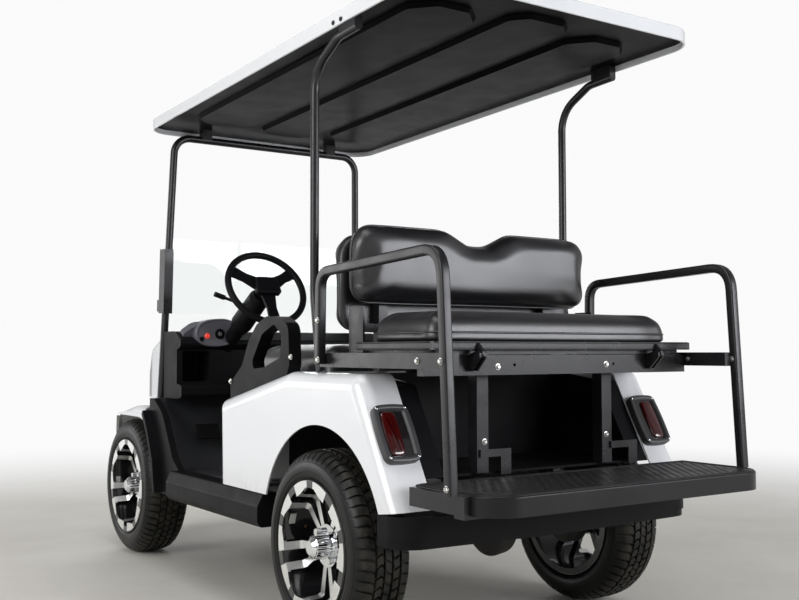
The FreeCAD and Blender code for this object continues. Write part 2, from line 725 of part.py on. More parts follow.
def steering_wheel():
    # Grip, three broad spokes and a padded hub, drawn flat and then tilted onto the column.
    c = cart
    grip = doc.addObject("Part::Torus", "Grip")
    bind(grip, Radius1=c.grip_radius, Radius2=c.grip_thickness)
    foot = c.fit_gap - 46
    hub = turned("WheelHub", [(0, foot), (20, foot), (26, -20), (46, -12, 10), (44, 6), (0, 6)])
    spokes = []
    for angle in (-150, -30, 90):
        spoke = doc.addObject("PartDesign::Body", "WheelSpoke")
        rows = [(24, -30), (92, -19, 40), (c.grip_radius - 2, -24), (c.grip_radius - 2, 24),
                (92, 19, 40), (24, 30)]
        pad(spoke, outline(spoke, "XY_Plane", rows, offset=-6), 11)
        place(spoke, turn=angle, about=Vector(0, 0, 1))
        spokes.append(spoke)
    pad_rows = [(54, 34, 14), (-54, 34, 14), (-44, -42, 16), (44, -42, 16)]
    centre = doc.addObject("PartDesign::Body", "CentrePad")
    pad(centre, outline(centre, "XY_Plane", pad_rows), 22)
    fillet(centre, 7, lies_at("Z", 22))
    wheel = fuse("SteeringWheelFlat", grip, hub, centre, *spokes)
    return node(place(wheel, *down_column(0), turn=c.column_rise - 90), "steering_wheel")


def pedals():
    # Two pads on arms that stand off the toe board, square to it.
    c = cart
    lean = math.degrees(math.atan2(c.dash_bottom.value - 0.5 - c.floor_top.value,
                                   c.toe_head.value - 10 - c.toe_foot.value))
    pairs = []
    # side, distance up the board, width, length
    for side, climb, width, length in ((205, 95, 62, 120), (330, 105, 92, 62)):
        plate = doc.addObject("Part::Box", "PedalPad")
        bind(plate, Length=width, Width=length, Height=10)
        arm = doc.addObject("Part::Box", "PedalArm")
        bind(arm, Length=16, Width=22, Height=48)
        up = Vector(0, -math.cos(math.radians(lean)), math.sin(math.radians(lean)))
        out = Vector(0, math.sin(math.radians(lean)), math.cos(math.radians(lean)))
        foot = Vector(side, (ahead(c.toe_foot - 2)).value, c.floor_top.value) + up * climb + out * 0.3
        turn = FreeCAD.Rotation(Vector(1, 0, 0), -lean)
        arm.Placement = FreeCAD.Placement(foot + up * (length / 2 + 11) - Vector(8, 0, 0), turn)
        plate.Placement = FreeCAD.Placement(foot + up * length + out * 44 - Vector(width / 2, 0, 0),
                                            turn)
        pairs.append(fuse("Pedal", plate, arm))
    return node(group("Pedals", *pairs), "pedals")


# Rear body

def tail_ahead(height):
    # The tail's sloping face at a height, as a distance ahead of the rear axle.
    c = cart
    return c.crest_rear - (c.body_crest - height) * tangent(c.tail_slope) - 16


def body_block(name, inset):
    c = cart
    foot = c.tail_foot
    bumper_top = c.bumper_bottom + c.bumper_height
    rows = side_rows([
        (c.body_front - inset, c.body_bottom - inset * 4),
        (c.body_front + 12 - inset, c.body_nose_top - inset, 22),
        (c.crest_front, c.body_crest - inset, 120),
        (tail_ahead(c.body_crest - inset) + inset / cosine(c.tail_slope), c.body_crest - inset, 45),
        (tail_ahead(foot) + inset / cosine(c.tail_slope), foot),
        (-330 + inset, bumper_top + c.fit_gap * 2 - inset),
        (0, c.body_bottom - inset * 4)])
    body = slab(name, rows, c.body_half - inset)
    face_x = c.body_half - inset

    def rounded(edge):
        box_ = edge.BoundBox
        flat = abs(abs(box_.XMin) - float(face_x)) < 0.01 and abs(box_.XMin - box_.XMax) < 0.01
        return flat and box_.ZMin > 420 and box_.YMax > float(ahead(c.body_front)) + 1
    fillet(body, c.top_round - inset, rounded)
    return body


def rear_body():
    c = cart
    outer = body_block("BodyOuter", Size.of(0))
    inner = body_block("BodyInner", c.shell_wall)
    wide = c.body_half + 20
    arch = cylinder("RearArch", c.arch_radius, wide * 2, (-wide, ahead(0), c.tyre_radius), "x")
    seat_hole = box("SeatHole", (-c.seat_hole_half, c.seat_hole_half),
                    (ahead(c.pan_front + 16), ahead(118)), (600, 900))
    well_hole = box("WellHole", (-c.quarter_inner, c.quarter_inner), (ahead(10), ahead(-600)),
                    (300, 900))
    return node(cut("RearBody", outer, inner, arch, seat_hole, well_hole), "rear_body")


def rear_liner():
    # The open black well between the quarters: floor, front wall and sides with tail flanges.
    c = cart
    gap = c.fit_gap
    wall = c.liner_wall
    side = side_rows([(4, c.well_floor), (tail_ahead(c.well_floor) + 6, c.well_floor),
                      (tail_ahead(748) + 6, 748),
                      (4, 778)])
    tub = slab("Tub", side, c.well_half)
    hollow = side_rows([(4 - wall, c.well_floor + wall), (-700, c.well_floor + wall), (-700, 900),
                        (4 - wall, 900)])
    pocket(tub, outline(tub, "YZ_Plane", hollow), c.well_half * 2 - wall * 2, midplane=True)
    flange = side_rows([
        (tail_ahead(c.well_floor) + 6, c.well_floor), (tail_ahead(748) + 6, 748),
        (tail_ahead(748) + 6 + wall, 748), (tail_ahead(c.well_floor) + 6 + wall, c.well_floor)])
    flanges = []
    for start in (c.well_half - 1, -c.quarter_inner + gap):
        flanges.append(prism("WellFlange", "YZ_Plane", flange, start,
                             c.quarter_inner - c.well_half + 1 - gap))
    return node(fuse("RearLiner", tub, *flanges), "rear_liner")


def tail_piece(name, side, grow, lift, depth, radius):
    # A rounded plate lying on the tail's face at one side, a little wider at its foot.
    c = cart
    piece = doc.addObject("PartDesign::Body", name)
    foot, head, half = 39.5 + grow, 34.5 + grow, 71 + grow
    rows = [(-foot, -half, radius), (foot, -half, radius), (head, half, radius), (-head, half, radius)]
    pad(piece, outline(piece, "XZ_Plane", rows), depth, reverse=True)
    middle = Size.of(620)
    slope = c.tail_slope
    place(piece, side * Size.of(484), ahead(tail_ahead(middle)) + cosine(slope) * lift,
          middle + sine(slope) * lift, turn=slope)
    return piece


def tail_lamps():
    c = cart
    bezels, lenses = [], []
    for side in (-1, 1):
        bezel = tail_piece("Bezel", side, Size.of(13), c.fit_gap, 11, 20)
        seat = tail_piece("LensSeat", side, Size.of(0), c.fit_gap, 11, 14)
        lens = tail_piece("Lens", side, -c.fit_gap, c.fit_gap, 18, 13.7)
        bezels.append(cut("BezelFrame", bezel, seat))
        lenses.append(lens)
    node(group("Bezels", *bezels), "tail_lamp_bezels")
    node(group("Lenses", *lenses), "tail_lamp_lenses")


def rear_bumper():
    # A curved bar with a stepped lower lip, on stubs from the frame rails.
    c = cart
    half = c.body_half - 2
    reach = c.bumper_reach

    def bar(name, inset, low, height):
        rows = plan_rows([
            (half, 147 - reach), (half - 4, 30 - reach + inset, 80), (0, inset - reach, 1500),
            (4 - half, 30 - reach + inset, 80), (-half, 147 - reach), (24 - half, 147 - reach),
            (28 - half, 52 - reach, 60), (0, 24 - reach, 1500), (half - 28, 52 - reach, 60),
            (half - 24, 147 - reach)])
        return prism(name, "XY_Plane", rows, low, height)
    lip = Size.of(22)
    parts = [bar("RearBumperBar", Size.of(0), c.bumper_bottom + lip, c.bumper_height - lip),
             bar("RearBumperLip", Size.of(7), c.bumper_bottom, lip)]
    top = c.bumper_bottom + c.bumper_height
    for side in (-1, 1):
        x = c.rail_offset * side
        parts.append(box("RearStub", (x - 18, x + 18), (ahead(-c.rail_rear), ahead(17 - reach)),
                         (top - 24, top - 4)))
    return node(fuse("RearBumper", *parts), "rear_bumper")


def hip_restraints():
    # Moulded loops at the ends of the front bench, each foot on the body's sloping top.
    c = cart
    nose = c.body_front + 12

    def crest(distance):
        rise = (c.body_crest - c.body_nose_top) / (nose - c.crest_front)
        return c.body_nose_top + (nose - distance) * rise + c.fit_gap
    rows = side_rows([
        (668, crest(668)), (672, 735, 12), (580, 795, 60), (525, 885, 60), (470, 932, 40),
        (400, 957, 40),
        (320, 955, 40), (248, 925, 40), (240, 800, 30), (256, crest(256))])
    hole = side_rows([(345, 931, 22), (430, 900, 40), (500, 815, 20), (496, 785, 12), (420, 790, 30),
                      (300, 824, 18), (292, 895, 26)])
    loop = prism("Restraint", "YZ_Plane", rows, c.restraint_inner, c.restraint_depth)
    sketch = outline(loop, "YZ_Plane", hole, offset=c.restraint_inner - 1)
    pocket(loop, sketch, c.restraint_depth + 2, reverse=True)
    return node(group("HipRestraints", loop, mirrored("RestraintRight", loop)), "hip_restraints")


# Benches

def battery_pack():
    c = cart
    pack = box("Batteries", (-330, 330), (ahead(600), ahead(190)), (c.rear_rail_top, c.pan_under - 45))
    return node(pack, "battery_pack")


def seat_frame():
    # Steel tray under the front bench with its legs, and the uprights between the two backs.
    c = cart
    top = c.pan_under - c.fit_gap
    mid_top = c.floor_top - c.floor_skin
    ring = cut("TrayRing",
               box("TrayOut", (-c.bench_half, c.bench_half), (ahead(c.pan_front), ahead(c.pan_rear)),
                   (top - 20, top)),
               box("TrayIn", (-c.bench_half + 60, c.bench_half - 60),
                   (ahead(c.pan_front - 40), ahead(c.pan_rear + 40)),
                   (top - 30, top + 10)))
    parts = [ring]
    for x in (-c.rail_offset, c.rail_offset):
        for distance in (632, 150):
            parts.append(box("TrayLeg", (x - 14, x + 14), (ahead(distance + 14), ahead(distance - 14)),
                             (mid_top if distance > 447 else c.rear_rail_top, top - 20)))
        parts.append(box("TrayRail", (x - 14, x + 14),
                         (ahead(c.pan_front - 20), ahead(c.pan_rear + 20)),
                         (top - 40, top - 20)))
    posts = []
    for side in (-1, 1):
        x = side * c.back_post_side
        posts.append(box("BackPost", (x - 16, x + 16), (ahead(28), ahead(-4)),
                         (c.body_crest, c.back_top - 60)))
    for low in (c.back_bottom + 8, c.back_top - 116):
        posts.append(box("BackBar", (-400, 400), (ahead(28), ahead(-4)), (low, low + 26)))
    return node(group("SeatFrame", fuse("Tray", *parts, *lid_hinge()), fuse("BackFrame", *posts)),
                "seat_frame")


def back_rest(name, bottom, height, rear, thickness):
    # An upholstered back with two lobes and a shallow notch between them, standing ahead of a place.
    c = cart
    half = c.back_half
    top = bottom + height
    dip = top - c.notch_depth
    rows = [(-half, bottom, 60), (half, bottom, 60), (half, top, 80), (128, top, 70), (34, dip, 60),
            (-34, dip, 60), (-128, top, 70), (-half, top, 80)]
    body = prism(name, "XZ_Plane", rows, -ahead(rear), thickness)
    fillet(body, 22, lies_at("Y", ahead(rear), ahead(rear + thickness)))
    return body


def front_back():
    c = cart
    return node(back_rest("FrontBack", c.back_bottom, c.back_height, 28 + c.fit_gap, c.back_thickness),
                "front_seat_back")


def rear_back():
    c = cart
    behind = 4 + c.fit_gap + c.rear_back_thickness
    return node(back_rest("RearBack", c.rear_back_bottom, c.rear_back_height, -behind,
                          c.rear_back_thickness),
                "rear_seat_back")


def front_bench():
    # The lid over the batteries: a moulded pan with two lugs, and its cushion.
    c = cart
    pan_top = c.pan_under + c.pan_skin
    pan = box("Pan", (-c.bench_half + 4, c.bench_half - 4), (ahead(c.pan_front), ahead(c.pan_rear)),
              (c.pan_under, pan_top))
    lugs = []
    for side in (-1, 1):
        x = side * c.lid_side
        lug_rows = side_rows([(c.pan_front - 20, c.pan_under), (c.pan_front + 8, c.pan_under),
                              (c.lid_axis_ahead - 6, c.lid_axis_height - 10),
                              (c.lid_axis_ahead + 9, c.lid_axis_height - 8),
                              (c.lid_axis_ahead + 9, c.lid_axis_height + 8),
                              (c.pan_front - 4, pan_top), (c.pan_front - 20, pan_top)])
        lug = prism("PanLug", "YZ_Plane", lug_rows, x - 4, 8)
        hole = cylinder("PanLugHole", c.hinge_pin + c.running_gap, 20,
                        (x - 10, ahead(c.lid_axis_ahead), c.lid_axis_height), "x")
        lugs.append(cut("PanLugCut", lug, hole))
    node(fuse("FrontPan", pan, *lugs), "front_seat_pan")
    rows = side_rows([
        (c.pan_rear, pan_top + c.fit_gap, 10), (c.pan_front + 6, pan_top + c.fit_gap, 20),
        (c.pan_front + 12, c.cushion_top - 4, 46), (c.pan_rear, c.cushion_top - 8, 26)])
    body = slab("FrontCushion", rows, c.bench_half)
    fillet(body, 34, sides_above(c.bench_half, pan_top + 12))
    node(body, "front_seat_cushion")


def lid_hinge():
    # Fixed hinge ears on the tray's front face, each pair with its pin through the pan's lug.
    c = cart
    ears = []
    for side in (-1, 1):
        x = side * c.lid_side
        rows = side_rows([(c.pan_front, c.pan_under - 60), (c.pan_front + 10, c.pan_under - 60),
                          (c.pan_front + 10, c.lid_axis_height - 20),
                          (c.lid_axis_ahead + 9, c.lid_axis_height - 14),
                          (c.lid_axis_ahead + 9, c.lid_axis_height + 8),
                          (c.lid_axis_ahead - 8, c.lid_axis_height + 8),
                          (c.pan_front, c.pan_under - 16)])
        for start in (x - 12, x + 5):
            ears.append(prism("LidEar", "YZ_Plane", rows, start, 7))
        ears.append(cylinder("LidPin", c.hinge_pin, 24,
                             (x - 12, ahead(c.lid_axis_ahead), c.lid_axis_height), "x"))
    plate = box("LidPlate", (-c.lid_side - 20, c.lid_side + 20),
                (ahead(c.pan_front + 6), ahead(c.pan_front)),
                (c.pan_under - 64, c.pan_under - c.fit_gap))
    return [plate] + ears


def rear_bench():
    c = cart
    deck_top = c.deck_under + c.deck_height
    deck = box("Deck", (-c.deck_half, c.deck_half), (ahead(c.deck_front), ahead(c.deck_rear)),
               (c.deck_under, deck_top))
    hollow = box("DeckHollow", (-c.deck_half + 5, c.deck_half - 5),
                 (ahead(c.deck_front - 5), ahead(c.deck_rear + 5)),
                 (c.deck_under - 5, deck_top - 6))
    tray = cut("DeckTray", deck, hollow)
    lugs = []
    for side in (-1, 1):
        x = side * c.flip_side
        rows = side_rows([(c.deck_rear + 12, c.deck_under + 10), (c.deck_rear + 12, c.deck_under - 2),
                          (-c.flip_axis_behind, c.flip_axis_height - 11, 9),
                          (-c.flip_axis_behind - 12, c.flip_axis_height - 6, 6),
                          (-c.flip_axis_behind - 12, c.flip_axis_height + 8, 6),
                          (c.deck_rear - 0.5, deck_top - 2),
                          (c.deck_rear - 0.5, c.deck_under + 10)])
        lug = prism("DeckLug", "YZ_Plane", rows, x - 4, 8)
        hole = cylinder("DeckLugHole", c.hinge_pin + c.running_gap, 20,
                        (x - 10, ahead(-c.flip_axis_behind), c.flip_axis_height), "x")
        lugs.append(cut("DeckLugCut", lug, hole))
    node(fuse("RearDeck", tray, *lugs), "rear_deck")
    under = deck_top + c.fit_gap
    rows = side_rows([(c.deck_front - 4, under, 12), (c.deck_front - 4, c.rear_cushion_top, 30),
                      (-446, c.rear_cushion_top, 34), (-446, under, 16)])
    body = slab("RearCushion", rows, c.rear_cushion_half)
    fillet(body, 28, sides_above(c.rear_cushion_half, under + 14))
    node(body, "rear_seat_cushion")


def rear_seat_frame():
    # The bench kit's weldment: side rails, cross rail, legs, and the footplate's carriers.
    c = cart
    inner = c.deck_half + 9
    outer = c.bar_side - c.bar_tube / 2 - c.fit_gap
    rail_z = (c.cross_rail_bottom + 19, c.cross_rail_top + 6)
    parts = []
    for side in (-1, 1):
        x = (inner, outer) if side > 0 else (-outer, -inner)
        parts.append(box("SideRail", x, (ahead(36), ahead(-604)), rail_z))
        leg_x = (c.rail_offset * side - 20, c.rail_offset * side + 20)
        parts.append(box("Leg", leg_x, (ahead(-c.leg_behind + 20), ahead(-c.leg_behind - 20)),
                         (c.well_floor + c.liner_wall, c.cross_rail_bottom)))
        parts.append(box("TopRail", leg_x, (ahead(-20), ahead(-c.cross_rail_behind)),
                         (c.cross_rail_bottom, c.cross_rail_top)))
        plate = c.rear_cushion_half - 4
        plate_x = (plate - 6, plate) if side > 0 else (-plate, 6 - plate)
        parts.append(box("BackPlate", plate_x, (ahead(-14), ahead(-92)),
                         (c.cross_rail_bottom + 20, c.rear_back_bottom - c.fit_gap)))
    rail = box("CrossRail", (-inner, inner),
               (ahead(-c.cross_rail_behind + 24), ahead(-c.cross_rail_behind)),
               (c.cross_rail_bottom, c.cross_rail_top))
    holes = []
    for side in (-1, 1):
        at = (side * c.rail_hole_side, ahead(-c.cross_rail_behind + 27),
              (c.cross_rail_bottom + c.cross_rail_top) / 2)
        holes.append(cylinder("RailHole", c.rail_hole_radius, 30, at, "y"))
    parts.append(cut("CrossRailDrilled", rail, *holes))
    parts.append(box("FrontRail", (-inner, inner), (ahead(-60), ahead(-84)),
                     (c.cross_rail_bottom + 20, c.cross_rail_top)))
    for side in (-1, 1):
        x = side * c.flip_side
        rows = side_rows([(-c.cross_rail_behind + 2, c.cross_rail_bottom + 12),
                          (-c.cross_rail_behind - 14, c.cross_rail_bottom + 12),
                          (-c.flip_axis_behind - 9, c.flip_axis_height - 9, 8),
                          (-c.flip_axis_behind - 9, c.flip_axis_height + 8, 7),
                          (-c.flip_axis_behind + 8, c.flip_axis_height + 8, 6),
                          (-c.cross_rail_behind + 2, c.cross_rail_top)])
        for start in (x - 12, x + 5):
            parts.append(prism("FlipEar", "YZ_Plane", rows, start, 7))
        parts.append(cylinder("FlipPin", c.hinge_pin, 24,
                              (x - 12, ahead(-c.flip_axis_behind), c.flip_axis_height), "x"))
    upper = fuse("BenchWeldment", *parts)
    return node(upper, "rear_seat_frame")


def footplate_frame():
    c = cart
    top = c.footplate_top - c.footplate_skin
    low = c.footplate_top - c.footplate_skirt - c.fit_gap
    parts = []
    for side in (-1, 1):
        x = (c.rail_offset * side - 20, c.rail_offset * side + 20)
        parts.append(box("Carrier", x, (ahead(-200), ahead(-620)), (c.rear_rail_top, top)))
        stub = (c.footplate_half + c.fit_gap, c.bar_side - c.bar_tube / 2 - c.fit_gap)
        stub_x = stub if side > 0 else (-stub[1], -stub[0])
        parts.append(box("CarrierEnd", stub_x, (ahead(-430), ahead(-660)), (low, c.bar_foot)))
    parts.append(box("CarrierCross", (-480, 480), (ahead(-620), ahead(-660)), (low - 8, top)))
    parts.append(box("CarrierStrap", (-stub[1], stub[1]), (ahead(-620), ahead(-660)), (low - 8, low)))
    return node(fuse("FootplateFrame", *parts), "footplate_frame")


def grab_bars():
    c = cart
    rows = side_rows([(-634, c.bar_foot), (-597, c.bar_top + 8, 70), (6, c.bar_top - 22, 56),
                      (12, c.cross_rail_top - 32)])
    left = pipe("GrabBar", "YZ_Plane", rows, ("square", c.bar_tube, 6), offset=c.bar_side)
    node(left, "grab_bar_left")
    node(mirrored("GrabBarRight", left), "grab_bar_right")


def footplate():
    # A pressed tread plate with rounded rear corners and a folded skirt.
    c = cart
    rear = c.rear_reach
    half = c.footplate_half
    low = c.footplate_top - c.footplate_skirt
    rows = plan_rows([(half, c.footplate_front), (half, -rear, 88), (-half, -rear, 88),
                      (-half, c.footplate_front)])
    plate = prism("Plate", "XY_Plane", rows, low, c.footplate_skirt)
    on_top = lies_at("Z", c.footplate_top)
    front = float(ahead(c.footplate_front))
    fillet(plate, 6, lambda edge: on_top(edge) and edge.BoundBox.YMax > front + 1)
    skin = c.footplate_skin
    inside = plan_rows([(half - skin, c.footplate_front + 10), (half - skin, -rear + skin, 84),
                        (-half + skin, -rear + skin, 84),
                        (-half + skin, c.footplate_front + 10)])
    pocket(plate, outline(plate, "XY_Plane", inside, offset=c.footplate_top - skin), 200)
    return node(plate, "footplate")


# Canopy and its carriers

def canopy_place(thing):
    # The canopy's own frame: its origin above the rear axle at the edge's underside.
    c = cart
    return place(thing, 0, rear_axle_y, c.canopy_edge, turn=c.canopy_fall)


def canopy_rows(inset, radius):
    c = cart
    half = c.canopy_half - inset
    front = -c.canopy_front + inset
    rear = -c.canopy_rear - inset
    return [(half, front, radius), (half, rear, radius), (-half, rear, radius), (-half, front, radius)]


def canopy_block(name, inset, low):
    # Edge band and shallow crown; the crown is a loft between two plan outlines.
    c = cart
    body = doc.addObject("PartDesign::Body", name)
    top = c.canopy_band - inset
    pad(body, outline(body, "XY_Plane", canopy_rows(inset, 100 - inset), offset=low), top - low)
    fillet(body, 9, lies_at("Z", top))
    crown = body.newObject("PartDesign::AdditiveLoft", "Crown")
    crown.Profile = outline(body, "XY_Plane", canopy_rows(inset + 10, 90 - inset), offset=top)
    crown.Sections = [outline(body, "XY_Plane", canopy_rows(inset + 150, 60),
                              offset=top + c.canopy_crown)]
    crown.Ruled = True
    return body


def canopy():
    c = cart
    outer = canopy_block("CanopyOuter", Size.of(0), Size.of(0))
    inner = canopy_block("CanopyInner", c.canopy_wall, Size.of(-5))
    return node(canopy_place(cut("Canopy", outer, inner)), "canopy")


def canopy_liner():
    # The moulded underside: a gutter round three long raised panels with clipped corners.
    c = cart
    body = doc.addObject("PartDesign::Body", "Liner")
    inset = c.canopy_wall + c.fit_gap
    pad(body, outline(body, "XY_Plane", canopy_rows(inset, 93), offset=c.liner_level), c.liner_skin)
    # panels: inner and outer side, gap to the front edge, gap to the rear edge, clipped corner
    for low, high, front_gap, rear_gap, clip in ((-120, 120, 190, 105, 50), (175, 430, 230, 160, 70),
                                                 (-430, -175, 230, 160, 70)):
        front = -c.canopy_front + front_gap
        rear = -c.canopy_rear - rear_gap
        rows = [(low + clip, front, 30), (high - clip, front, 30), (high, front + clip, 40),
                (high, rear - clip, 40), (high - clip, rear, 30), (low + clip, rear, 30),
                (low, rear - clip, 40), (low, front + clip, 40)]
        sketch = outline(body, "XY_Plane", rows, offset=c.liner_level, name="Panel")
        pad(body, sketch, c.panel_depth, reverse=True, taper=-35, name="PanelPad")
    return node(canopy_place(body), "canopy_liner")


def canopy_pad(x, y, low):
    # A block under the canopy's liner, from a level in the canopy's frame up to its underside.
    rows = [(x[0], y[0]), (x[1], y[0]), (x[1], y[1]), (x[0], y[1])]
    return canopy_place(prism("CanopyPad", "XY_Plane", rows, low,
                              cart.liner_level - cart.fit_gap - low))


def front_hoop():
    c = cart
    rise = c.hoop_top - c.dash_bottom
    rows = [(-c.hoop_foot_half, 0), (-c.hoop_head_half, rise, 70), (c.hoop_head_half, rise, 70),
            (c.hoop_foot_half, 0)]
    hoop = pipe("Hoop", "XZ_Plane", rows, ("round", c.hoop_tube))
    sleeves = []
    for side in (-1, 1):
        x = side * c.sleeve_side
        sleeves.append(box("Sleeve", (x - c.sleeve_half, x + c.sleeve_half), (-38, 18), (345, 610)))
        sleeves.append(box("ClipBox", (x + 4 * side - 15, x + 4 * side + 15), (-56, -36), (352, 400)))
    leaning = place(fuse("HoopAndSleeves", hoop, *sleeves), 0, ahead(c.bulkhead), c.dash_bottom + 0.9,
                    turn=-c.hoop_lean)
    head = ahead(c.bulkhead) + rise * sine(c.hoop_lean) - rear_axle_y
    pads = [canopy_pad((x - 22, x + 22), (head - 16, head + 16), -25) for x in (-300, 300)]
    return node(fuse("FrontHoop", leaning, *pads), "front_hoop")


def rear_struts():
    c = cart
    rows = side_rows([(66, c.body_crest + 2.6), (104, 1010, 300), (104, 1700, 110), (-36, 1770, 60),
                      (-150, 1776)])
    x = c.strut_side
    tube = pipe("Strut", "YZ_Plane", rows, ("round", c.strut_tube), offset=x)
    pad_ = canopy_pad((x - c.strut_tube / 2, x + c.strut_tube / 2), (60, 150), -20)
    left = fuse("StrutLeft", tube, pad_)
    return node(group("RearStruts", left, mirrored("StrutRight", left)), "rear_struts")


def windshield():
    # The lower pane stands in the hoop; the upper one is folded down in front of it.
    c = cart
    half = c.sleeve_side - c.sleeve_half - c.fit_gap
    low = (c.dash_top + 6, c.pane_top)
    front = c.hoop_tube / 2 + 3
    lower = box("LowerPane", (-half, half), (-front - c.pane_skin, -front),
                (low[0] - c.dash_bottom, low[1] - c.dash_bottom))
    upper = box("UpperPane", (-half, half), (-front - c.pane_skin * 2 - 4, -front - c.pane_skin - 4),
                (c.pane_fold_bottom - c.dash_bottom, c.pane_top - c.dash_bottom))
    strip = box("FoldStrip", (-half, half), (-front - c.pane_skin - 4, -front - c.pane_skin),
                (c.pane_top - c.dash_bottom - 12, c.pane_top - c.dash_bottom))
    both = fuse("Windshield", lower, upper, strip)
    return node(place(both, 0, ahead(c.bulkhead), c.dash_bottom, turn=-c.hoop_lean), "windshield")


# Axles, springs and knuckles

def spring_seats(y, offset, height):
    # Flat pads on an axle that the leaf springs lie on.
    c = cart
    half = c.spring_seat - 30
    return [box("SpringSeat", (side * offset - 22, side * offset + 22), (y - half, y + half),
                (c.tyre_radius, c.tyre_radius + height)) for side in (-1, 1)]


def rear_axle():
    c = cart
    reach = c.rear_track_half - 60
    tube = cylinder("AxleTube", c.axle_tube, reach * 2, (-reach, rear_axle_y, c.tyre_radius), "x")
    shaft_reach = c.rear_track_half + 70
    shaft = cylinder("AxleShaft", c.shaft_radius, shaft_reach * 2,
                     (-shaft_reach, rear_axle_y, c.tyre_radius), "x")
    drop = turned("Differential", [(0, -150), (34, -150), (60, -120, 20), (88, -95, 24), (96, -40, 24),
                                   (60, 0, 20), (0, 0)])
    place(drop, -30, rear_axle_y, c.tyre_radius, turn=90, about=Vector(0, 1, 0))
    motor = cylinder("Motor", 82, 240, (-40, ahead(165), c.tyre_radius + 15), "x")
    link = box("MotorFoot", (-120, -20), (ahead(120), ahead(60)),
               (c.tyre_radius - 40, c.tyre_radius + 40))
    drums = [cylinder("Drum", 84, 40, (side * (c.rear_track_half - 72) - 20, rear_axle_y,
                                       c.tyre_radius), "x")
             for side in (-1, 1)]
    seats = spring_seats(ahead(0), c.rail_offset, c.axle_tube)
    return node(fuse("RearAxle", tube, shaft, drop, motor, link, *drums, *seats), "rear_axle")


def leaf_springs():
    c = cart
    leaves = []
    rail_under = c.rear_rail_top - c.rail_height
    front_under = c.front_rail_top - c.rail_height
    saddle = c.tyre_radius + c.axle_tube
    beam_top = c.tyre_radius + c.beam_tube
    seat = c.spring_seat
    for side in (-1, 1):
        x = side * c.rail_offset
        rear = side_rows([(-400, rail_under - 22), (-385, rail_under), (-370, rail_under - 10),
                          (-seat, saddle + 24, 300), (seat, saddle + 24, 300), (310, rail_under - 4),
                          (325, rail_under), (345, rail_under - 20), (seat, saddle, 300),
                          (-seat, saddle, 300)])
        leaves.append(prism("RearLeaf", "YZ_Plane", rear, x - 22, 44))
        base = c.wheelbase
        x = side * c.front_rail_offset
        front = side_rows([(base - 250, front_under - 20), (base - 235, front_under),
                           (base - 220, front_under - 10),
                           (base - seat, beam_top + 20, 300), (base + seat, beam_top + 20, 300),
                           (base + 220, front_under - 10), (base + 235, front_under),
                           (base + 250, front_under - 20), (base + seat, beam_top, 300),
                           (base - seat, beam_top, 300)])
        leaves.append(prism("FrontLeaf", "YZ_Plane", front, x - 22, 44))
    return node(group("LeafSprings", *leaves), "leaf_springs")


def front_axle():
    # A tube beam whose ends carry the kingpin ears.
    c = cart
    y = ahead(c.wheelbase)
    z = c.tyre_radius
    reach = c.kingpin_side - 34
    beam = cylinder("FrontBeam", c.beam_tube, reach * 2, (-reach, y, z), "x")
    parts = [beam] + spring_seats(y, c.front_rail_offset, c.beam_tube)
    for side in (-1, 1):
        x = side * c.kingpin_side
        inner = x - side * Size.of(44)
        outer = x - side * Size.of(28)
        near, far = (inner, outer) if side > 0 else (outer, inner)
        parts.append(box("YokeBack", (near, far), (y - 22, y + 22),
                         (z - c.ear_height, z + c.ear_height)))
        for low in (z - c.ear_height, z + c.ear_height - c.ear_thickness):
            ear_x = (inner, x) if side > 0 else (x, inner)
            ear = fuse("Ear", box("EarPlate", ear_x, (y - 22, y + 22), (low, low + c.ear_thickness)),
                       cylinder("EarEnd", 22, c.ear_thickness, (x, y, low)))
            hole = cylinder("EarHole", c.kingpin_radius + c.running_gap, c.ear_thickness + 4,
                            (x, y, low - 2))
            parts.append(cut("EarBored", ear, hole))
    return node(fuse("FrontAxle", *parts), "front_axle")


def knuckles():
    # Each knuckle stands between its ears on the kingpin and carries the wheel's spindle.
    c = cart
    y = ahead(c.wheelbase)
    z = c.tyre_radius
    inner = c.ear_height - c.ear_thickness - 1
    post = cylinder("KnucklePost", 20, inner * 2, (c.kingpin_side, y, z - inner))
    pin = cylinder("Kingpin", c.kingpin_radius, c.ear_height * 2 + 8,
                   (c.kingpin_side, y, z - c.ear_height - 4))
    spindle = cylinder("Spindle", c.spindle_radius, c.front_track_half + 70 - c.kingpin_side,
                       (c.kingpin_side, y, z), "x")
    arm = box("SteerArm", (c.kingpin_side - 9, c.kingpin_side + 9), (y, y + c.steer_arm),
              (z - c.rod_drop, z - c.rod_drop + 12))
    eye = cylinder("SteerEye", 15, 12, (c.kingpin_side, y + c.steer_arm, z - c.rod_drop))
    left = fuse("KnuckleLeft", post, pin, spindle, arm, eye)
    node(left, "knuckle_left")
    node(mirrored("KnuckleRight", left), "knuckle_right")


def tie_rod():
    c = cart
    y = ahead(c.wheelbase) + c.steer_arm
    top = c.tyre_radius - c.rod_drop - c.fit_gap
    bar = cylinder("TieBar", 8, c.kingpin_side * 2, (-c.kingpin_side, y, top - 11), "x")
    eyes = [cylinder("TieEye", 13, 20, (side * c.kingpin_side, y, top - 20)) for side in (-1, 1)]
    return node(fuse("TieRod", bar, *eyes), "tie_rod")


# Wheels

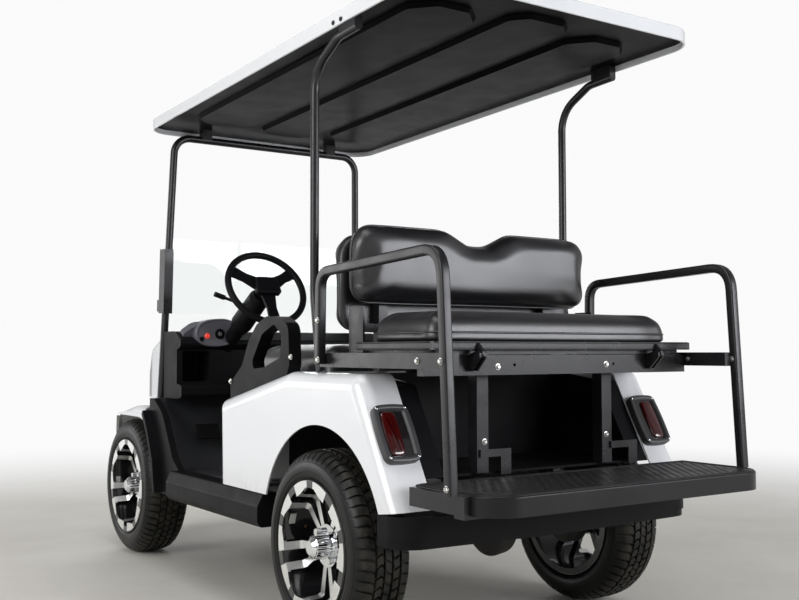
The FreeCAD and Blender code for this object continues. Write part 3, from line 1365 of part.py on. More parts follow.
def tyre(name, x, y):
    c = cart
    half = c.tyre_width / 2
    seat = c.rim_width / 2 - 9
    crown = c.tyre_radius
    rows = [(c.tyre_bead, -seat), (c.rim_lip + 2, -seat), (crown - 56, -half), (crown - 24, 4 - half),
            (crown - 6, 20 - half), (crown, 44 - half), (crown, half - 44), (crown - 6, half - 20),
            (crown - 24, half - 4), (crown - 56, half), (c.rim_lip + 2, seat), (c.tyre_bead, seat)]
    body = turned("Tyre", rows)
    return node(place(body, x, y, c.tyre_radius, turn=90, about=Vector(0, 1, 0)), name)


def rim(name, x, y, bore, outward):
    # A deep-dished wheel; +Z of its own frame faces outward. Twin spokes lie deep in the barrel,
    # climb its wall and spread along the lip.
    c = cart
    half = c.rim_width / 2
    wall = c.rim_wall
    bead = c.tyre_bead
    lip = c.rim_lip
    inside = bead - wall
    face = half + 2
    bed = face - c.dish_depth
    barrel = turned("Barrel", [
        (inside, -half), (lip, -half), (lip, 5 - half), (bead - 0.2, 8 - half), (bead - 0.2, half - 8),
        (lip, half - 5), (lip, face), (inside, face)])
    hub = turned("Hub", [
        (bore, -28), (c.hub_radius, -28), (c.hub_radius + 6, bed - c.spoke_depth),
        (c.hub_radius, bed + 2),
        (c.cap_radius + 5, bed + 2), (c.cap_radius + 2, bed + 14), (c.cap_radius, face - 8),
        (c.cap_radius - 9, face),
        (0, face), (0, face - 8), (bore, face - 8)])
    parts = [barrel, hub]
    for index in range(4):
        nut = doc.addObject("Part::Prism", "LugNut")
        nut.Polygon = 6
        bind(nut, Circumradius=10.5, Height=20)
        angle = math.radians(90 * index + 45)
        place(nut, c.lug_circle * math.cos(angle), c.lug_circle * math.sin(angle), bed)
        parts.append(nut)
    step = 360.0 / c.spoke_pairs.value
    outer = inside + 2
    for index in range(int(c.spoke_pairs.value)):
        for lean in (-1, 1):
            turn = index * step + lean * c.spoke_spread.value
            blade = doc.addObject("PartDesign::Body", "Blade")
            rows = [(c.hub_radius - 6, -9), (outer, -12), (outer, 12), (c.hub_radius - 6, 9)]
            pad(blade, outline(blade, "XY_Plane", rows, offset=bed - c.spoke_depth), c.spoke_depth)
            riser = doc.addObject("PartDesign::Body", "Riser")
            pad(riser, outline(riser, "XZ_Plane", [
                (inside - 30, bed - 5), (outer, bed - 5), (outer, face), (inside - 14, face),
                (inside - 20, bed + 8)],
                offset=-12), 24)
            flare = doc.addObject("PartDesign::Body", "Flare")
            rows = [(inside - 14, -12 * lean), (outer - 0.5, -12 * lean), (outer - 2, 30 * lean),
                    (outer - 9, 52 * lean),
                    (inside - 14, 12 * lean)]
            pad(flare, outline(flare, "XY_Plane", rows, offset=face - 10), 10)
            for piece in (blade, riser, flare):
                parts.append(place(piece, turn=turn, about=Vector(0, 0, 1)))
    wheel = fuse("Rim", *parts)
    turn = 90 if outward > 0 else -90
    return node(place(wheel, x, y, c.tyre_radius, turn=turn, about=Vector(0, 1, 0)), name)


def wheels():
    c = cart
    # name, side, axle's place ahead, track half, bore
    table = (("front_left", 1, c.wheelbase, c.front_track_half, c.spindle_radius),
             ("front_right", -1, c.wheelbase, c.front_track_half, c.spindle_radius),
             ("rear_left", 1, Size.of(0), c.rear_track_half, c.shaft_radius),
             ("rear_right", -1, Size.of(0), c.rear_track_half, c.shaft_radius))
    for name, side, distance, track, axle in table:
        tyre("tyre_" + name, side * track, ahead(distance))
        rim("rim_" + name, side * track, ahead(distance), axle + c.running_gap, side)


for build in (chassis_frame, floor_pan, sill_panels, front_cowl, headlamps, front_bumper, dashboard,
              instrument_pod, steering_column, steering_wheel, pedals, rear_body, rear_liner,
              tail_lamps,
              rear_bumper, hip_restraints, battery_pack, seat_frame, front_back, rear_back, front_bench,
              rear_bench, rear_seat_frame, footplate_frame, grab_bars, footplate, canopy,
              canopy_liner, front_hoop, rear_struts, windshield, rear_axle, leaf_springs, front_axle,
              knuckles, tie_rod, wheels):
    build()

doc.recompute()

faults = [thing.Name for thing in doc.Objects if {"Invalid", "Error"} & set(thing.State)]
for thing in nodes:
    if thing.Shape.isNull() or not thing.Shape.isValid():
        faults.append(thing.Label)
if faults:
    raise RuntimeError("not built: " + ", ".join(faults))

os.makedirs("parts", exist_ok=True)
for thing in nodes:
    thing.Shape.exportStep("parts/%s.step" % thing.Label)
    print(thing.Label, len(thing.Shape.Solids), round(thing.Shape.Volume / 1e6, 3))
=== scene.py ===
import math
import bmesh
import bpy
from mathutils import Matrix, Vector
from mathutils.bvhtree import BVHTree


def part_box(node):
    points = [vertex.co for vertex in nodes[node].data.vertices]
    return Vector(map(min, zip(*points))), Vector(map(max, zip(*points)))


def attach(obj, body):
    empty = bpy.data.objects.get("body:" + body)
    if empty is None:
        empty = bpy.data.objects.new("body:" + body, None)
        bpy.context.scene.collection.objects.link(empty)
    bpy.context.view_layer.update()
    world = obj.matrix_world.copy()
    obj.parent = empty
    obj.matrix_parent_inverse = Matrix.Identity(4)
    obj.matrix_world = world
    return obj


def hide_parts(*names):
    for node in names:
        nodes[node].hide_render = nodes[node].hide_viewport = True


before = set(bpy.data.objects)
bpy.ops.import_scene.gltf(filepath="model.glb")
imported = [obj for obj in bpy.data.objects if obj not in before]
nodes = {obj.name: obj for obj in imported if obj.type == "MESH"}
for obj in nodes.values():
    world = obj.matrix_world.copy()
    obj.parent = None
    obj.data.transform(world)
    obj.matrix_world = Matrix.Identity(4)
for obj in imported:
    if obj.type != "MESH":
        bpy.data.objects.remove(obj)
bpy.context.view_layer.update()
collection = bpy.context.scene.collection

# Each wheel's middle in x and y, and how far from the cart's middle the rim's face and its bed are
wheelPlaces = {"front_left": (0.450, -1.005), "front_right": (-0.450, -1.005),
               "rear_left": (0.492, 0.665), "rear_right": (-0.492, 0.665)}
axleHeight = 0.2794
rimDepths = {"front": (0.540, 0.480), "rear": (0.582, 0.522)}


# Shader maths: a Wire is one output of a node, and plain operators on it add Math nodes.

def acts(operation, flip=False):
    return lambda wire, *others: wire.maths(operation, *others, flip=flip)


class Wire:
    __add__, __radd__ = acts("ADD"), acts("ADD", True)
    __sub__, __rsub__ = acts("SUBTRACT"), acts("SUBTRACT", True)
    __mul__, __rmul__ = acts("MULTIPLY"), acts("MULTIPLY", True)
    __truediv__, __gt__, __lt__ = acts("DIVIDE"), acts("GREATER_THAN"), acts("LESS_THAN")
    absolute, fraction, root = acts("ABSOLUTE"), acts("FRACT"), acts("SQRT")

    def __init__(self, net, end):
        self.net = net
        self.end = end

    def maths(self, operation, *others, flip=False):
        values = list(reversed([self, *others])) if flip else [self, *others]
        return self.net.add("ShaderNodeMath", {"operation": operation}, dict(enumerate(values)))

    def clamp(self):
        return self.net.add("ShaderNodeMath", {"operation": "ADD", "use_clamp": True}, {0: self, 1: 0.0})

    def other(self, output):
        return Wire(self.net, self.end.node.outputs[output])


class Net:
    # The nodes of a material, by its name, or of a world; add() makes a node and feeds its sockets.
    def __init__(self, owner):
        self.owner = bpy.data.materials.new(owner) if isinstance(owner, str) else owner
        self.owner.use_nodes = True
        self.tree = self.owner.node_tree
        self.shader = self.tree.nodes.get("Principled BSDF")

    def add(self, kind, settings=None, inputs=None, out=0):
        node = self.tree.nodes.new(kind)
        for key, value in (settings or {}).items():
            if key == "stops":
                ramp = node.color_ramp
                while len(ramp.elements) < len(value):
                    ramp.elements.new(0.5)
                for element, (place, colour) in zip(ramp.elements, value):
                    element.position = place
                    element.color = (*colour, 1)
            else:
                setattr(node, key, value)
        for key, value in (inputs or {}).items():
            self.feed(node.inputs[key], value)
        return Wire(self, node.outputs[out])

    def feed(self, socket, value):
        if isinstance(value, Wire):
            self.tree.links.new(value.end, socket)
        else:
            socket.default_value = (*value, 1) if socket.type == "RGBA" else value

    def place(self):
        return self.add("ShaderNodeTexCoord", out="Object")

    def axes(self, vector):
        split = self.add("ShaderNodeSeparateXYZ", inputs={"Vector": vector})
        return [split.other(index) for index in range(3)]

    def noise(self, scale, detail=3.0, roughness=0.55, vector=None, distortion=0.0):
        return self.add("ShaderNodeTexNoise", inputs={
            "Vector": vector or self.place(), "Scale": scale, "Detail": detail, "Roughness": roughness,
            "Distortion": distortion})

    def cells(self, scale, feature="F1", vector=None):
        return self.add("ShaderNodeTexVoronoi", {"feature": feature}, {
            "Vector": vector or self.place(), "Scale": scale})

    def spread(self, value, low, high, toLow=0.0, toHigh=1.0):
        return self.add("ShaderNodeMapRange", {"interpolation_type": "SMOOTHSTEP"}, {
            "Value": value, "From Min": low, "From Max": high, "To Min": toLow, "To Max": toHigh})

    def uneven(self, scale, low, high, detail=3):
        # A value that wanders between low and high.
        return self.spread(self.noise(scale, detail), 0.3, 0.7, low, high)

    def mix(self, factor, first, second):
        made = self.add("ShaderNodeMix", {"data_type": "RGBA"}, {"Factor": factor})
        node = made.end.node
        sockets = [item for item in node.inputs if item.type == "RGBA"]
        for socket, value in zip(sockets, (first, second)):
            self.feed(socket, value)
        return Wire(self, [item for item in node.outputs if item.type == "RGBA"][0])

    def bump(self, height, strength, distance, normal=None):
        inputs = {"Height": height, "Strength": strength, "Distance": distance}
        return self.add("ShaderNodeBump", inputs={**inputs, "Normal": normal} if normal else inputs)

    def finish(self, **sockets):
        for name, value in sockets.items():
            self.feed(self.shader.inputs[finishSockets[name]], value)
        return self.owner


finishSockets = {
    "colour": "Base Color", "roughness": "Roughness", "metallic": "Metallic", "normal": "Normal",
    "coat": "Coat Weight", "coatRoughness": "Coat Roughness", "specular": "Specular IOR Level",
    "glow": "Emission Strength", "glowColour": "Emission Color", "through": "Transmission Weight",
    "ior": "IOR",
}


# Finishes

def dusty(net, colour, amount, dust=(0.32, 0.30, 0.27)):
    # A thin film of dust that gathers near the ground and on faces that look up.
    height = net.axes(net.place())[2]
    low = net.spread(height, 0.1, 0.55, 1.0, 0.25)
    up = net.axes(net.add("ShaderNodeNewGeometry", out="Normal"))[2]
    film = net.noise(9, 5, 0.65) * low * amount + (up > 0.75) * net.noise(24, 4) * amount * 0.5
    return net.mix(film.clamp(), colour, dust)


def paintedSteel(name, values):
    net = Net(name)
    grain = net.noise(values["grain"], 2, 0.5)
    shade = net.noise(6, 4, 0.6)
    colour = net.mix(shade, values["dark"], values["light"])
    rough = net.uneven(14, *values["roughness"], 4)
    return net.finish(colour=dusty(net, colour, values["dust"]), roughness=rough,
                      normal=net.bump(grain, values["bump"], 0.0006), specular=0.4)


powderCoat = {"grain": 900, "dark": (0.006, 0.006, 0.007), "light": (0.012, 0.012, 0.014),
              "roughness": (0.26, 0.36), "dust": 0.03, "bump": 0.08}
oldSteel = {"grain": 260, "dark": (0.007, 0.007, 0.007), "light": (0.018, 0.017, 0.016),
            "roughness": (0.45, 0.7), "dust": 0.10, "bump": 0.4}


def glossWhite():
    values = {"colour": (0.80, 0.81, 0.83), "shade": (0.74, 0.755, 0.78), "peel": 130, "low": 0.30,
              "high": 0.52}
    net = Net("glossWhite")
    height = net.axes(net.place())[2]
    grime = net.spread(height, values["low"], values["high"], 0.5, 0.0) * net.noise(22, 5, 0.7)
    tint = net.mix(net.noise(3, 2), values["colour"], values["shade"])
    peel = net.noise(values["peel"], 2, 0.4)
    return net.finish(colour=net.mix(grime.clamp(), tint, (0.38, 0.36, 0.33)),
                      roughness=net.uneven(10, 0.16, 0.24, 4) + grime * 0.3,
                      normal=net.bump(peel, 0.04, 0.0012), coat=0.6, coatRoughness=0.06, specular=0.5)


def moulding(name, values):
    # Grained moulded plastic: small irregular cells with a little colour drift.
    net = Net(name)
    cells = net.cells(values["grain"], "SMOOTH_F1")
    fine = net.noise(values["grain"] * 1.7, 2)
    height = cells * 0.8 + fine * 0.4
    colour = net.mix(net.noise(5, 4, 0.6), values["dark"], values["light"])
    rough = net.uneven(11, *values["roughness"])
    return net.finish(colour=dusty(net, colour, values["dust"]), roughness=rough,
                      normal=net.bump(height, values["bump"], 0.0008), specular=values["specular"])


blackGrain = {"grain": 620, "dark": (0.004, 0.004, 0.0048), "light": (0.008, 0.008, 0.0095),
              "roughness": (0.36, 0.46), "dust": 0.02, "bump": 0.2, "specular": 0.08}
linerSheen = {"grain": 520, "dark": (0.002, 0.002, 0.0022), "light": (0.003, 0.003, 0.0032),
              "roughness": (0.30, 0.36), "dust": 0.0, "bump": 0.12, "specular": 0.02}
# The black moulding made lighter for the floor pan: painted light, because its kick panel sits in shade.
floorBlackPaintedLit = {"grain": 620, "dark": (0.020, 0.021, 0.024), "light": (0.030, 0.031, 0.036),
             "roughness": (0.36, 0.48), "dust": 0.05, "bump": 0.2, "specular": 0.4}
treadBlack = {"grain": 700, "dark": (0.008, 0.008, 0.009), "light": (0.014, 0.014, 0.015),
              "roughness": (0.28, 0.38), "dust": 0.05, "bump": 0.2, "specular": 0.2}
podGrey = {"grain": 900, "dark": (0.105, 0.105, 0.122), "light": (0.130, 0.130, 0.150),
           "roughness": (0.38, 0.48), "dust": 0.0, "bump": 0.1, "specular": 0.35}
lampBlack = {"grain": 900, "dark": (0.038, 0.038, 0.041), "light": (0.056, 0.056, 0.060),
             "roughness": (0.36, 0.44), "dust": 0.0, "bump": 0.06, "specular": 0.4}


def vinyl():
    # Marine vinyl: creased leather grain, soft wide highlights and a few long stretch marks.
    values = {"dark": (0.009, 0.009, 0.010), "light": (0.016, 0.016, 0.018), "grain": 330, "pores": 900}
    net = Net("seatVinyl")
    warp = net.add("ShaderNodeVectorMath", {"operation": "ADD"}, {
        0: net.place(), 1: net.add("ShaderNodeVectorMath", {"operation": "SCALE"}, {
            0: net.noise(60, 2), "Scale": 0.006})})
    creases = net.cells(values["grain"], "DISTANCE_TO_EDGE", warp)
    pores = net.noise(values["pores"], 2)
    marks = net.spread(net.noise(7, 3, 0.6, distortion=0.8), 0.45, 0.75)
    height = net.spread(creases, 0.0, 0.12) * 0.7 + pores * 0.3
    colour = net.mix(net.noise(4, 4, 0.6), values["dark"], values["light"])
    return net.finish(colour=colour, roughness=net.uneven(9, 0.37, 0.41, 4) + marks * 0.015,
                      normal=net.bump(height, 0.14, 0.0005, net.bump(marks, 0.015, 0.003)),
                      specular=0.62, coat=0.3, coatRoughness=0.28)


def tyreRubber():
    values = {"dark": (0.0045, 0.0045, 0.0045), "light": (0.009, 0.009, 0.0085),
              "dust": (0.060, 0.056, 0.040)}
    net = Net("tyreRubber")
    film = net.spread(net.noise(16, 5, 0.7), 0.35, 0.8)
    colour = net.mix(film, values["dark"], values["light"])
    tread = net.add("ShaderNodeAttribute", {"attribute_name": "treadMask"}, out="Fac")
    dust = tread * net.spread(net.noise(34, 4), 0.3, 0.75) * 0.4
    return net.finish(colour=net.mix(dust.clamp(), colour, values["dust"]),
                      roughness=net.uneven(8, 0.30, 0.42, 4) + dust * 0.5,
                      normal=net.bump(net.noise(420, 3), 0.12, 0.0006), specular=0.26)


def wheelFace():
    # Machined flares, spoke tops and risers, chrome nuts, and gloss black everywhere else. The masks
    # come from the place on the wheel: radius and angle about its axle, and distance from the middle.
    values = {
        "skin": 0.0007, "edge": 0.004, "lipRim": 0.1905,
        # degrees: from one pair of spokes to the next, half the gap in a pair, and out to the pair's side
        "spacing": 72, "channel": 6.6, "reach": 30.5,
        # smallest and largest radius of each machined part, and the chrome's
        "flare": (0.150, 0.1845), "blade": (0.063, 0.170), "riser": (0.138, 0.1585), "cap": 0.066,
        "outward": 0.8, "inward": -0.4,                   # how far a face has to look that way
        "black": (0.010, 0.010, 0.011), "bright": (0.93, 0.93, 0.92), "dull": (0.74, 0.74, 0.73),
        "chrome": (0.84, 0.85, 0.87),
        "rough": {"black": 0.17, "machined": 0.13, "lines": 0.12, "chrome": 0.10},
    }
    net = Net("wheelFace")
    x, y, z = net.axes(net.place())
    isRear = y > 0
    side = x.absolute()
    frontAxle, rearAxle = wheelPlaces["front_left"][1], wheelPlaces["rear_left"][1]
    y = y - (isRear * (rearAxle - frontAxle) + frontAxle)
    z = z - axleHeight
    radius = (y * y + z * z).root()
    depths = zip(rimDepths["front"], rimDepths["rear"])
    face, bed = (isRear * (rear - front) + front for front, rear in depths)
    down = (x > 0) * -2 + 1                               # the first pair points down on the left wheels
    angle = net.add("ShaderNodeMath", {"operation": "ARCTAN2"}, {0: z * down, 1: y * down})
    turns = angle * (180 / math.pi / values["spacing"]) - 90 / values["spacing"] + 10.5  # kept above 0
    off = (turns.fraction() - 0.5).absolute() * values["spacing"]
    normal = net.add("ShaderNodeTexCoord", out="Normal")
    nx, ny, nz = net.axes(normal)
    outward = nx.absolute() > values["outward"]
    inward = ((ny * y + nz * z) / radius) < values["inward"]

    def ring(part):
        low, high = values[part]
        return (radius > low) * (radius < high)

    onFace = (side > (face - values["skin"])) * outward
    near = (off > values["channel"]) * (off < values["reach"])
    flare = onFace * near * ring("flare")
    edge = (side > (face - values["edge"])) * (radius > values["flare"][1]) * near
    lip = (radius > values["lipRim"]) * 0.25
    blade = ((side - bed).absolute() < values["skin"]) * outward * ring("blade")
    riser = inward * ring("riser") * (side > bed) * (side < (face + 0.01))
    machined = (flare + edge + lip + blade + riser).clamp()
    chromed = (side > (bed + values["skin"])) * (radius < values["cap"])
    lines = net.noise(1.0, 3, 0.6, vector=net.add("ShaderNodeCombineXYZ", inputs={
        "X": radius * 900, "Y": angle * 6, "Z": side * 260}))
    bright = net.mix(lines, values["bright"], values["dull"])
    colour = net.mix(chromed, net.mix(machined, values["black"], bright), values["chrome"])
    metal = (machined + chromed).clamp()
    levels = values["rough"]
    rough = levels["black"] + machined * (levels["machined"] + lines * levels["lines"])
    rough = (rough - chromed * levels["chrome"]).clamp()
    return net.finish(colour=colour, metallic=metal * 0.98, roughness=rough, coat=(1 - metal) * 0.7,
                      coatRoughness=0.05, normal=net.bump(lines * machined, 0.05, 0.0004))


def plated(name, colours, roughness, **others):
    # A clean hard skin; colours are (size of the noise, one colour, the other).
    net = Net(name)
    return net.finish(colour=net.mix(net.noise(colours[0], 3), *colours[1:]),
                      roughness=net.uneven(*roughness), **others)


def patch(name, colour, roughness, metallic):
    # A small painted or bare metal patch.
    net = Net(name)
    worn = net.noise(140, 3)
    return net.finish(colour=net.mix(worn * 0.3, colour, tuple(part * 0.6 for part in colour)),
                      metallic=metallic, roughness=roughness + worn * 0.1)


def clearSheet():
    net = Net("clearSheet")
    smear = net.noise(7, 5, 0.65, distortion=0.6)
    return net.finish(colour=(0.97, 0.985, 0.98), roughness=net.spread(smear, 0.45, 0.8, 0.0, 0.05),
                      through=1.0, ior=1.2, specular=0.35)


def redLens():
    # A deep red lens with faint upright ribs moulded inside it.
    net = Net("redLens")
    ribs = net.add("ShaderNodeTexWave", {"wave_type": "BANDS", "bands_direction": "X"}, {
        "Vector": net.place(), "Scale": 34.0, "Distortion": 0.6})
    lit = net.mix(net.noise(26, 3), (0.09, 0.004, 0.004), (0.028, 0.002, 0.002))
    return net.finish(colour=net.mix(ribs * 0.4, lit, (0.022, 0.001, 0.002)),
                      roughness=0.12 + net.noise(40, 3) * 0.08,
                      normal=net.bump(ribs, 0.10, 0.0006), coat=1.0, coatRoughness=0.04)


def redGlow():
    # A lit warning lamp behind a moulded red cap.
    net = Net("redGlow")
    tint = net.mix(net.noise(220, 2), (0.55, 0.010, 0.008), (0.30, 0.004, 0.004))
    return net.finish(colour=tint, roughness=0.16 + net.noise(90, 2) * 0.06,
                      glowColour=(0.9, 0.06, 0.03), glow=0.55, coat=1.0, coatRoughness=0.05)


def lampGlass():
    net = Net("lampGlass")
    ribs = net.cells(60, "F1")
    return net.finish(colour=net.mix(net.noise(25, 2), (0.62, 0.65, 0.68), (0.42, 0.45, 0.48)),
                      metallic=0.55, roughness=net.uneven(30, 0.08, 0.16),
                      normal=net.bump(ribs, 0.25, 0.002), coat=1.0, coatRoughness=0.03)


finishes = {
    "steel": paintedSteel("powderCoat", powderCoat),
    "oldSteel": paintedSteel("oldSteel", oldSteel),
    "white": glossWhite(),
    "black": moulding("blackGrain", blackGrain),
    "liner": moulding("linerSheen", linerSheen),
    "bezel": moulding("lampBlack", lampBlack),
    "floor": moulding("floorBlackPaintedLit", floorBlackPaintedLit),
    "tread": moulding("treadBlack", treadBlack),
    "pod": moulding("podGrey", podGrey),
    "vinyl": vinyl(),
    "tyre": tyreRubber(),
    "wheel": wheelFace(),
    "chrome": plated("chrome", (30, (0.80, 0.81, 0.83), (0.70, 0.71, 0.73)), (60, 0.05, 0.13, 4),
                     metallic=1.0),
    "zinc": plated("zincPlate", (90, (0.62, 0.61, 0.58), (0.46, 0.45, 0.42)), (120, 0.22, 0.38, 4),
                   metallic=1.0),
    "lead": patch("weightCoat", (0.55, 0.55, 0.53), 0.4, 0.0),
    "copper": patch("copperPatch", (0.60, 0.27, 0.13), 0.3, 1.0),
    "clear": clearSheet(),
    "red": redLens(),
    "redGlow": redGlow(),
    "smoke": plated("smokedPlate", (40, (0.010, 0.009, 0.009), (0.022, 0.018, 0.018)), (60, 0.10, 0.2),
                    coat=1.0, coatRoughness=0.04),
    "lamp": lampGlass(),
}

# Which finish each node of the frame takes
nodeFinishes = {
    "steel": ("footplate_frame", "seat_frame", "rear_seat_frame", "grab_bar_left", "grab_bar_right",
              "front_hoop", "rear_struts", "chassis_frame", "rear_deck"),
    "oldSteel": ("front_axle", "rear_axle", "knuckle_left", "knuckle_right", "tie_rod", "leaf_springs"),
    "white": ("rear_body", "front_cowl", "canopy"),
    "floor": ("floor_pan",),
    "black": ("sill_panels", "dashboard", "front_bumper", "rear_bumper", "rear_liner",
              "steering_column", "pedals", "battery_pack", "front_seat_pan", "hip_restraints",
              "tail_lamp_bezels", "steering_wheel"),
    "liner": ("canopy_liner",),
    "tread": ("footplate",),
    "pod": ("instrument_pod",),
    "vinyl": ("front_seat_back", "rear_seat_back", "front_seat_cushion", "rear_seat_cushion"),
    "tyre": ("tyre_front_left", "tyre_front_right", "tyre_rear_left", "tyre_rear_right"),
    "wheel": ("rim_front_left", "rim_front_right", "rim_rear_left", "rim_rear_right"),
    "clear": ("windshield",),
    "red": ("tail_lamp_lenses",),
    "lamp": ("headlamps",),
}


def dressNodes():
    for finish, names in nodeFinishes.items():
        for name in names:
            nodes[name].data.materials.clear()
            nodes[name].data.materials.append(finishes[finish])
    print("frame dressed:", sum(len(names) for names in nodeFinishes.values()), "nodes")


dressNodes()


# Mesh helpers

def newPiece(name, mesh, finish, body):
    piece = bpy.data.objects.new(name, mesh)
    collection.objects.link(piece)
    piece.data.materials.append(finishes[finish])
    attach(piece, body)
    return piece


def meshOf(name, verts, faces):
    mesh = bpy.data.meshes.new(name)
    mesh.from_pydata(verts, [], faces)
    mesh.update()
    mesh.shade_smooth()
    return mesh


def turnOutwards(mesh):
    work = bmesh.new()
    work.from_mesh(mesh)
    bmesh.ops.recalc_face_normals(work, faces=work.faces)
    work.to_mesh(mesh)
    work.free()


def useModifiers(piece):
    # Applies every modifier that the piece carries.
    graph = bpy.context.evaluated_depsgraph_get()
    graph.update()
    mesh = bpy.data.meshes.new_from_object(piece.evaluated_get(graph))
    piece.modifiers.clear()
    piece.data = mesh


def ringFaces(rows, count, closed=False):
    # Quads between rings of count points; closed joins the last ring to the first.
    faces = []
    for row in range(rows if closed else rows - 1):
        start, after = row * count, (row + 1) % rows * count
        for col in range(count):
            ahead = (col + 1) % count
            faces.append((start + col, start + ahead, after + ahead, after + col))
    return faces


def ringCap(row, count):
    return tuple(range(row * count, (row + 1) * count))


def stacked(path, rings, place, caps=()):
    # A path drawn in ring by ring: rings are (distance in, level), and caps the rings to close.
    verts = [place(point, level) for inset, level in rings for point in drawnIn(path, inset)]
    count = len(path)
    return verts, ringFaces(len(rings), count) + [ringCap(row % len(rings), count) for row in caps]


def spun(rings, count, place, caps=()):
    # A ring of count points for each row, where place turns a row and an angle into a point.
    verts = [place(row, 2 * math.pi * k / count) for row in rings for k in range(count)]
    return verts, ringFaces(len(rings), count) + [ringCap(row % len(rings), count) for row in caps]


def wheelPoint(across, y, radius, angle):
    return (across, y + radius * math.cos(angle), axleHeight + radius * math.sin(angle))


def boxCorners(low, high, radius, farRadius=None):
    # A box's corners for roundedPath, anticlockwise; farRadius rounds the two with the higher v.
    far = radius if farRadius is None else farRadius
    return [(low[0], low[1], radius), (high[0], low[1], radius), (high[0], high[1], far),
            (low[0], high[1], far)]


def roundedPath(corners, spacing):
    # A closed outline through corners of (u, v, radius), as evenly spaced points.
    count = len(corners)
    points = []
    for index in range(count):
        before = Vector(corners[index - 1][:2])
        here = Vector(corners[index][:2])
        after = Vector(corners[(index + 1) % count][:2])
        radius = corners[index][2]
        arrive, leave = (here - before).normalized(), (after - here).normalized()
        turn = math.atan2(arrive.x * leave.y - arrive.y * leave.x, arrive.dot(leave))
        reach = radius * math.tan(abs(turn) / 2)
        start = here - arrive * reach
        sign = 1 if turn > 0 else -1
        centre = start + Vector((-arrive.y, arrive.x)) * radius * sign
        steps = max(3, int(abs(turn) * radius / spacing) + 1)
        for step in range(steps + 1):
            spin = Matrix.Rotation(turn * step / steps, 2)
            points.append(centre + spin @ (start - centre))
    path = []
    for index, point in enumerate(points):
        after = points[(index + 1) % len(points)]
        gap = (after - point).length
        if gap < 1e-6:
            continue
        pieces = max(1, round(gap / spacing))
        path += [point.lerp(after, step / pieces) for step in range(pieces)]
    return path


def drawnIn(path, inset):
    # The same outline moved inwards; the path runs anticlockwise.
    moved = []
    for index, point in enumerate(path):
        along = (path[(index + 1) % len(path)] - path[index - 1]).normalized()
        moved.append(point + Vector((-along.y, along.x)) * inset)
    return moved


# Stage, light and camera

def buildStage():
    # A pale floor that fades to white away from the cart; what the camera sees beyond it is white.
    values = {"reach": 16, "near": 1.9, "far": 6.2, "floor": (0.64, 0.625, 0.575),
              "shade": (0.58, 0.565, 0.515), "white": (0.96, 0.96, 0.96)}
    reach = values["reach"]
    net = Net("studioFloor")
    x, y, _ = net.axes(net.place())
    distance = (x * x + y * y).root()
    fade = net.spread(distance, values["near"], values["far"])
    cloudy = net.noise(1.6, 6, 0.62, distortion=0.4)
    colour = net.mix(net.spread(cloudy, 0.3, 0.7), values["floor"], values["shade"])
    shader = net.finish(colour=net.mix(fade, colour, values["white"]), roughness=0.5 + cloudy * 0.2,
                        specular=0.25)
    rays = net.add("ShaderNodeLightPath")
    seen = rays + rays.other("Is Glossy Ray") + rays.other("Is Transmission Ray")
    glow = net.add("ShaderNodeEmission", inputs={"Color": values["white"], "Strength": 1.0})
    blended = net.add("ShaderNodeMixShader", inputs={
        0: seen.clamp() * fade, 1: Wire(net, net.shader.outputs[0]), 2: glow})
    net.feed(net.tree.nodes["Material Output"].inputs["Surface"], blended)
    corners = [(-reach, -reach, 0), (reach, -reach, 0), (reach, reach, 0), (-reach, reach, 0)]
    floor = bpy.data.objects.new("studioFloor", meshOf("studioFloor", corners, [(0, 1, 2, 3)]))
    collection.objects.link(floor)
    floor.data.materials.append(shader)
    print("stage built")


def areaLight(name, place, target, size, power, colour=(1, 1, 1)):
    lamp = bpy.data.lights.new(name, "AREA")
    lamp.color = colour
    lamp.shape = "RECTANGLE"
    lamp.size, lamp.size_y = size
    lamp.energy = power
    made = bpy.data.objects.new(name, lamp)
    made.location = place
    made.rotation_euler = (Vector(target) - Vector(place)).to_track_quat("-Z", "Y").to_euler()
    collection.objects.link(made)


def buildLight():
    # The room: bright walls round the cart, a darker ceiling, and plain white where the camera looks past.
    values = {"wall": 0.40, "ceiling": 0.06, "ground": 0.10, "wallTop": 0.42, "ceilingFrom": 0.80,
              "backdrop": (0.96, 0.96, 0.96)}
    world = bpy.data.worlds.new("studio")
    net = Net(world)
    stops = ((0.0, "ground"), (0.47, "ground"), (0.51, "wall"), (0.5 + values["wallTop"] / 2, "wall"),
             (0.5 + values["ceilingFrom"] / 2, "ceiling"), (1.0, "ceiling"))
    height = net.axes(net.add("ShaderNodeTexCoord", out="Generated"))[2]
    share = net.add("ShaderNodeMapRange", inputs={"Value": height, "From Min": -1.0})
    room = net.add("ShaderNodeValToRGB", {"stops": [(place, (values[part],) * 3) for place, part in stops]},
                   {"Fac": share})
    ambient = net.tree.nodes["Background"]
    net.feed(ambient.inputs["Color"], room)
    backdrop = net.add("ShaderNodeBackground", inputs={"Color": values["backdrop"]})
    rays = net.add("ShaderNodeLightPath")
    seen = rays.maths("MAXIMUM", rays.other("Is Transmission Ray"))
    chosen = net.add("ShaderNodeMixShader", inputs={
        0: seen, 1: Wire(net, ambient.outputs[0]), 2: backdrop})
    net.feed(net.tree.nodes["World Output"].inputs["Surface"], chosen)
    bpy.context.scene.world = world
    areaLight("overhead", (0.6, 0.8, 4.4), (0, 0.2, 0.6), (3.2, 4.2), 115)
    areaLight("sideSoft", (5.0, 1.2, 2.6), (0, 0.2, 0.7), (2.6, 2.4), 130)
    areaLight("rearSoft", (-3.0, 5.4, 1.9), (0, 0.7, 1.0), (3.2, 1.7), 190, (0.94, 0.95, 1.0))
    areaLight("wheelSoft", (4.2, -5.2, 1.6), (0.3, -0.2, 0.5), (3.4, 2.2), 70)
    areaLight("frontSoft", (-2.6, -5.6, 3.2), (0, -0.6, 0.8), (3.4, 2.4), 90)
    print("lights set")


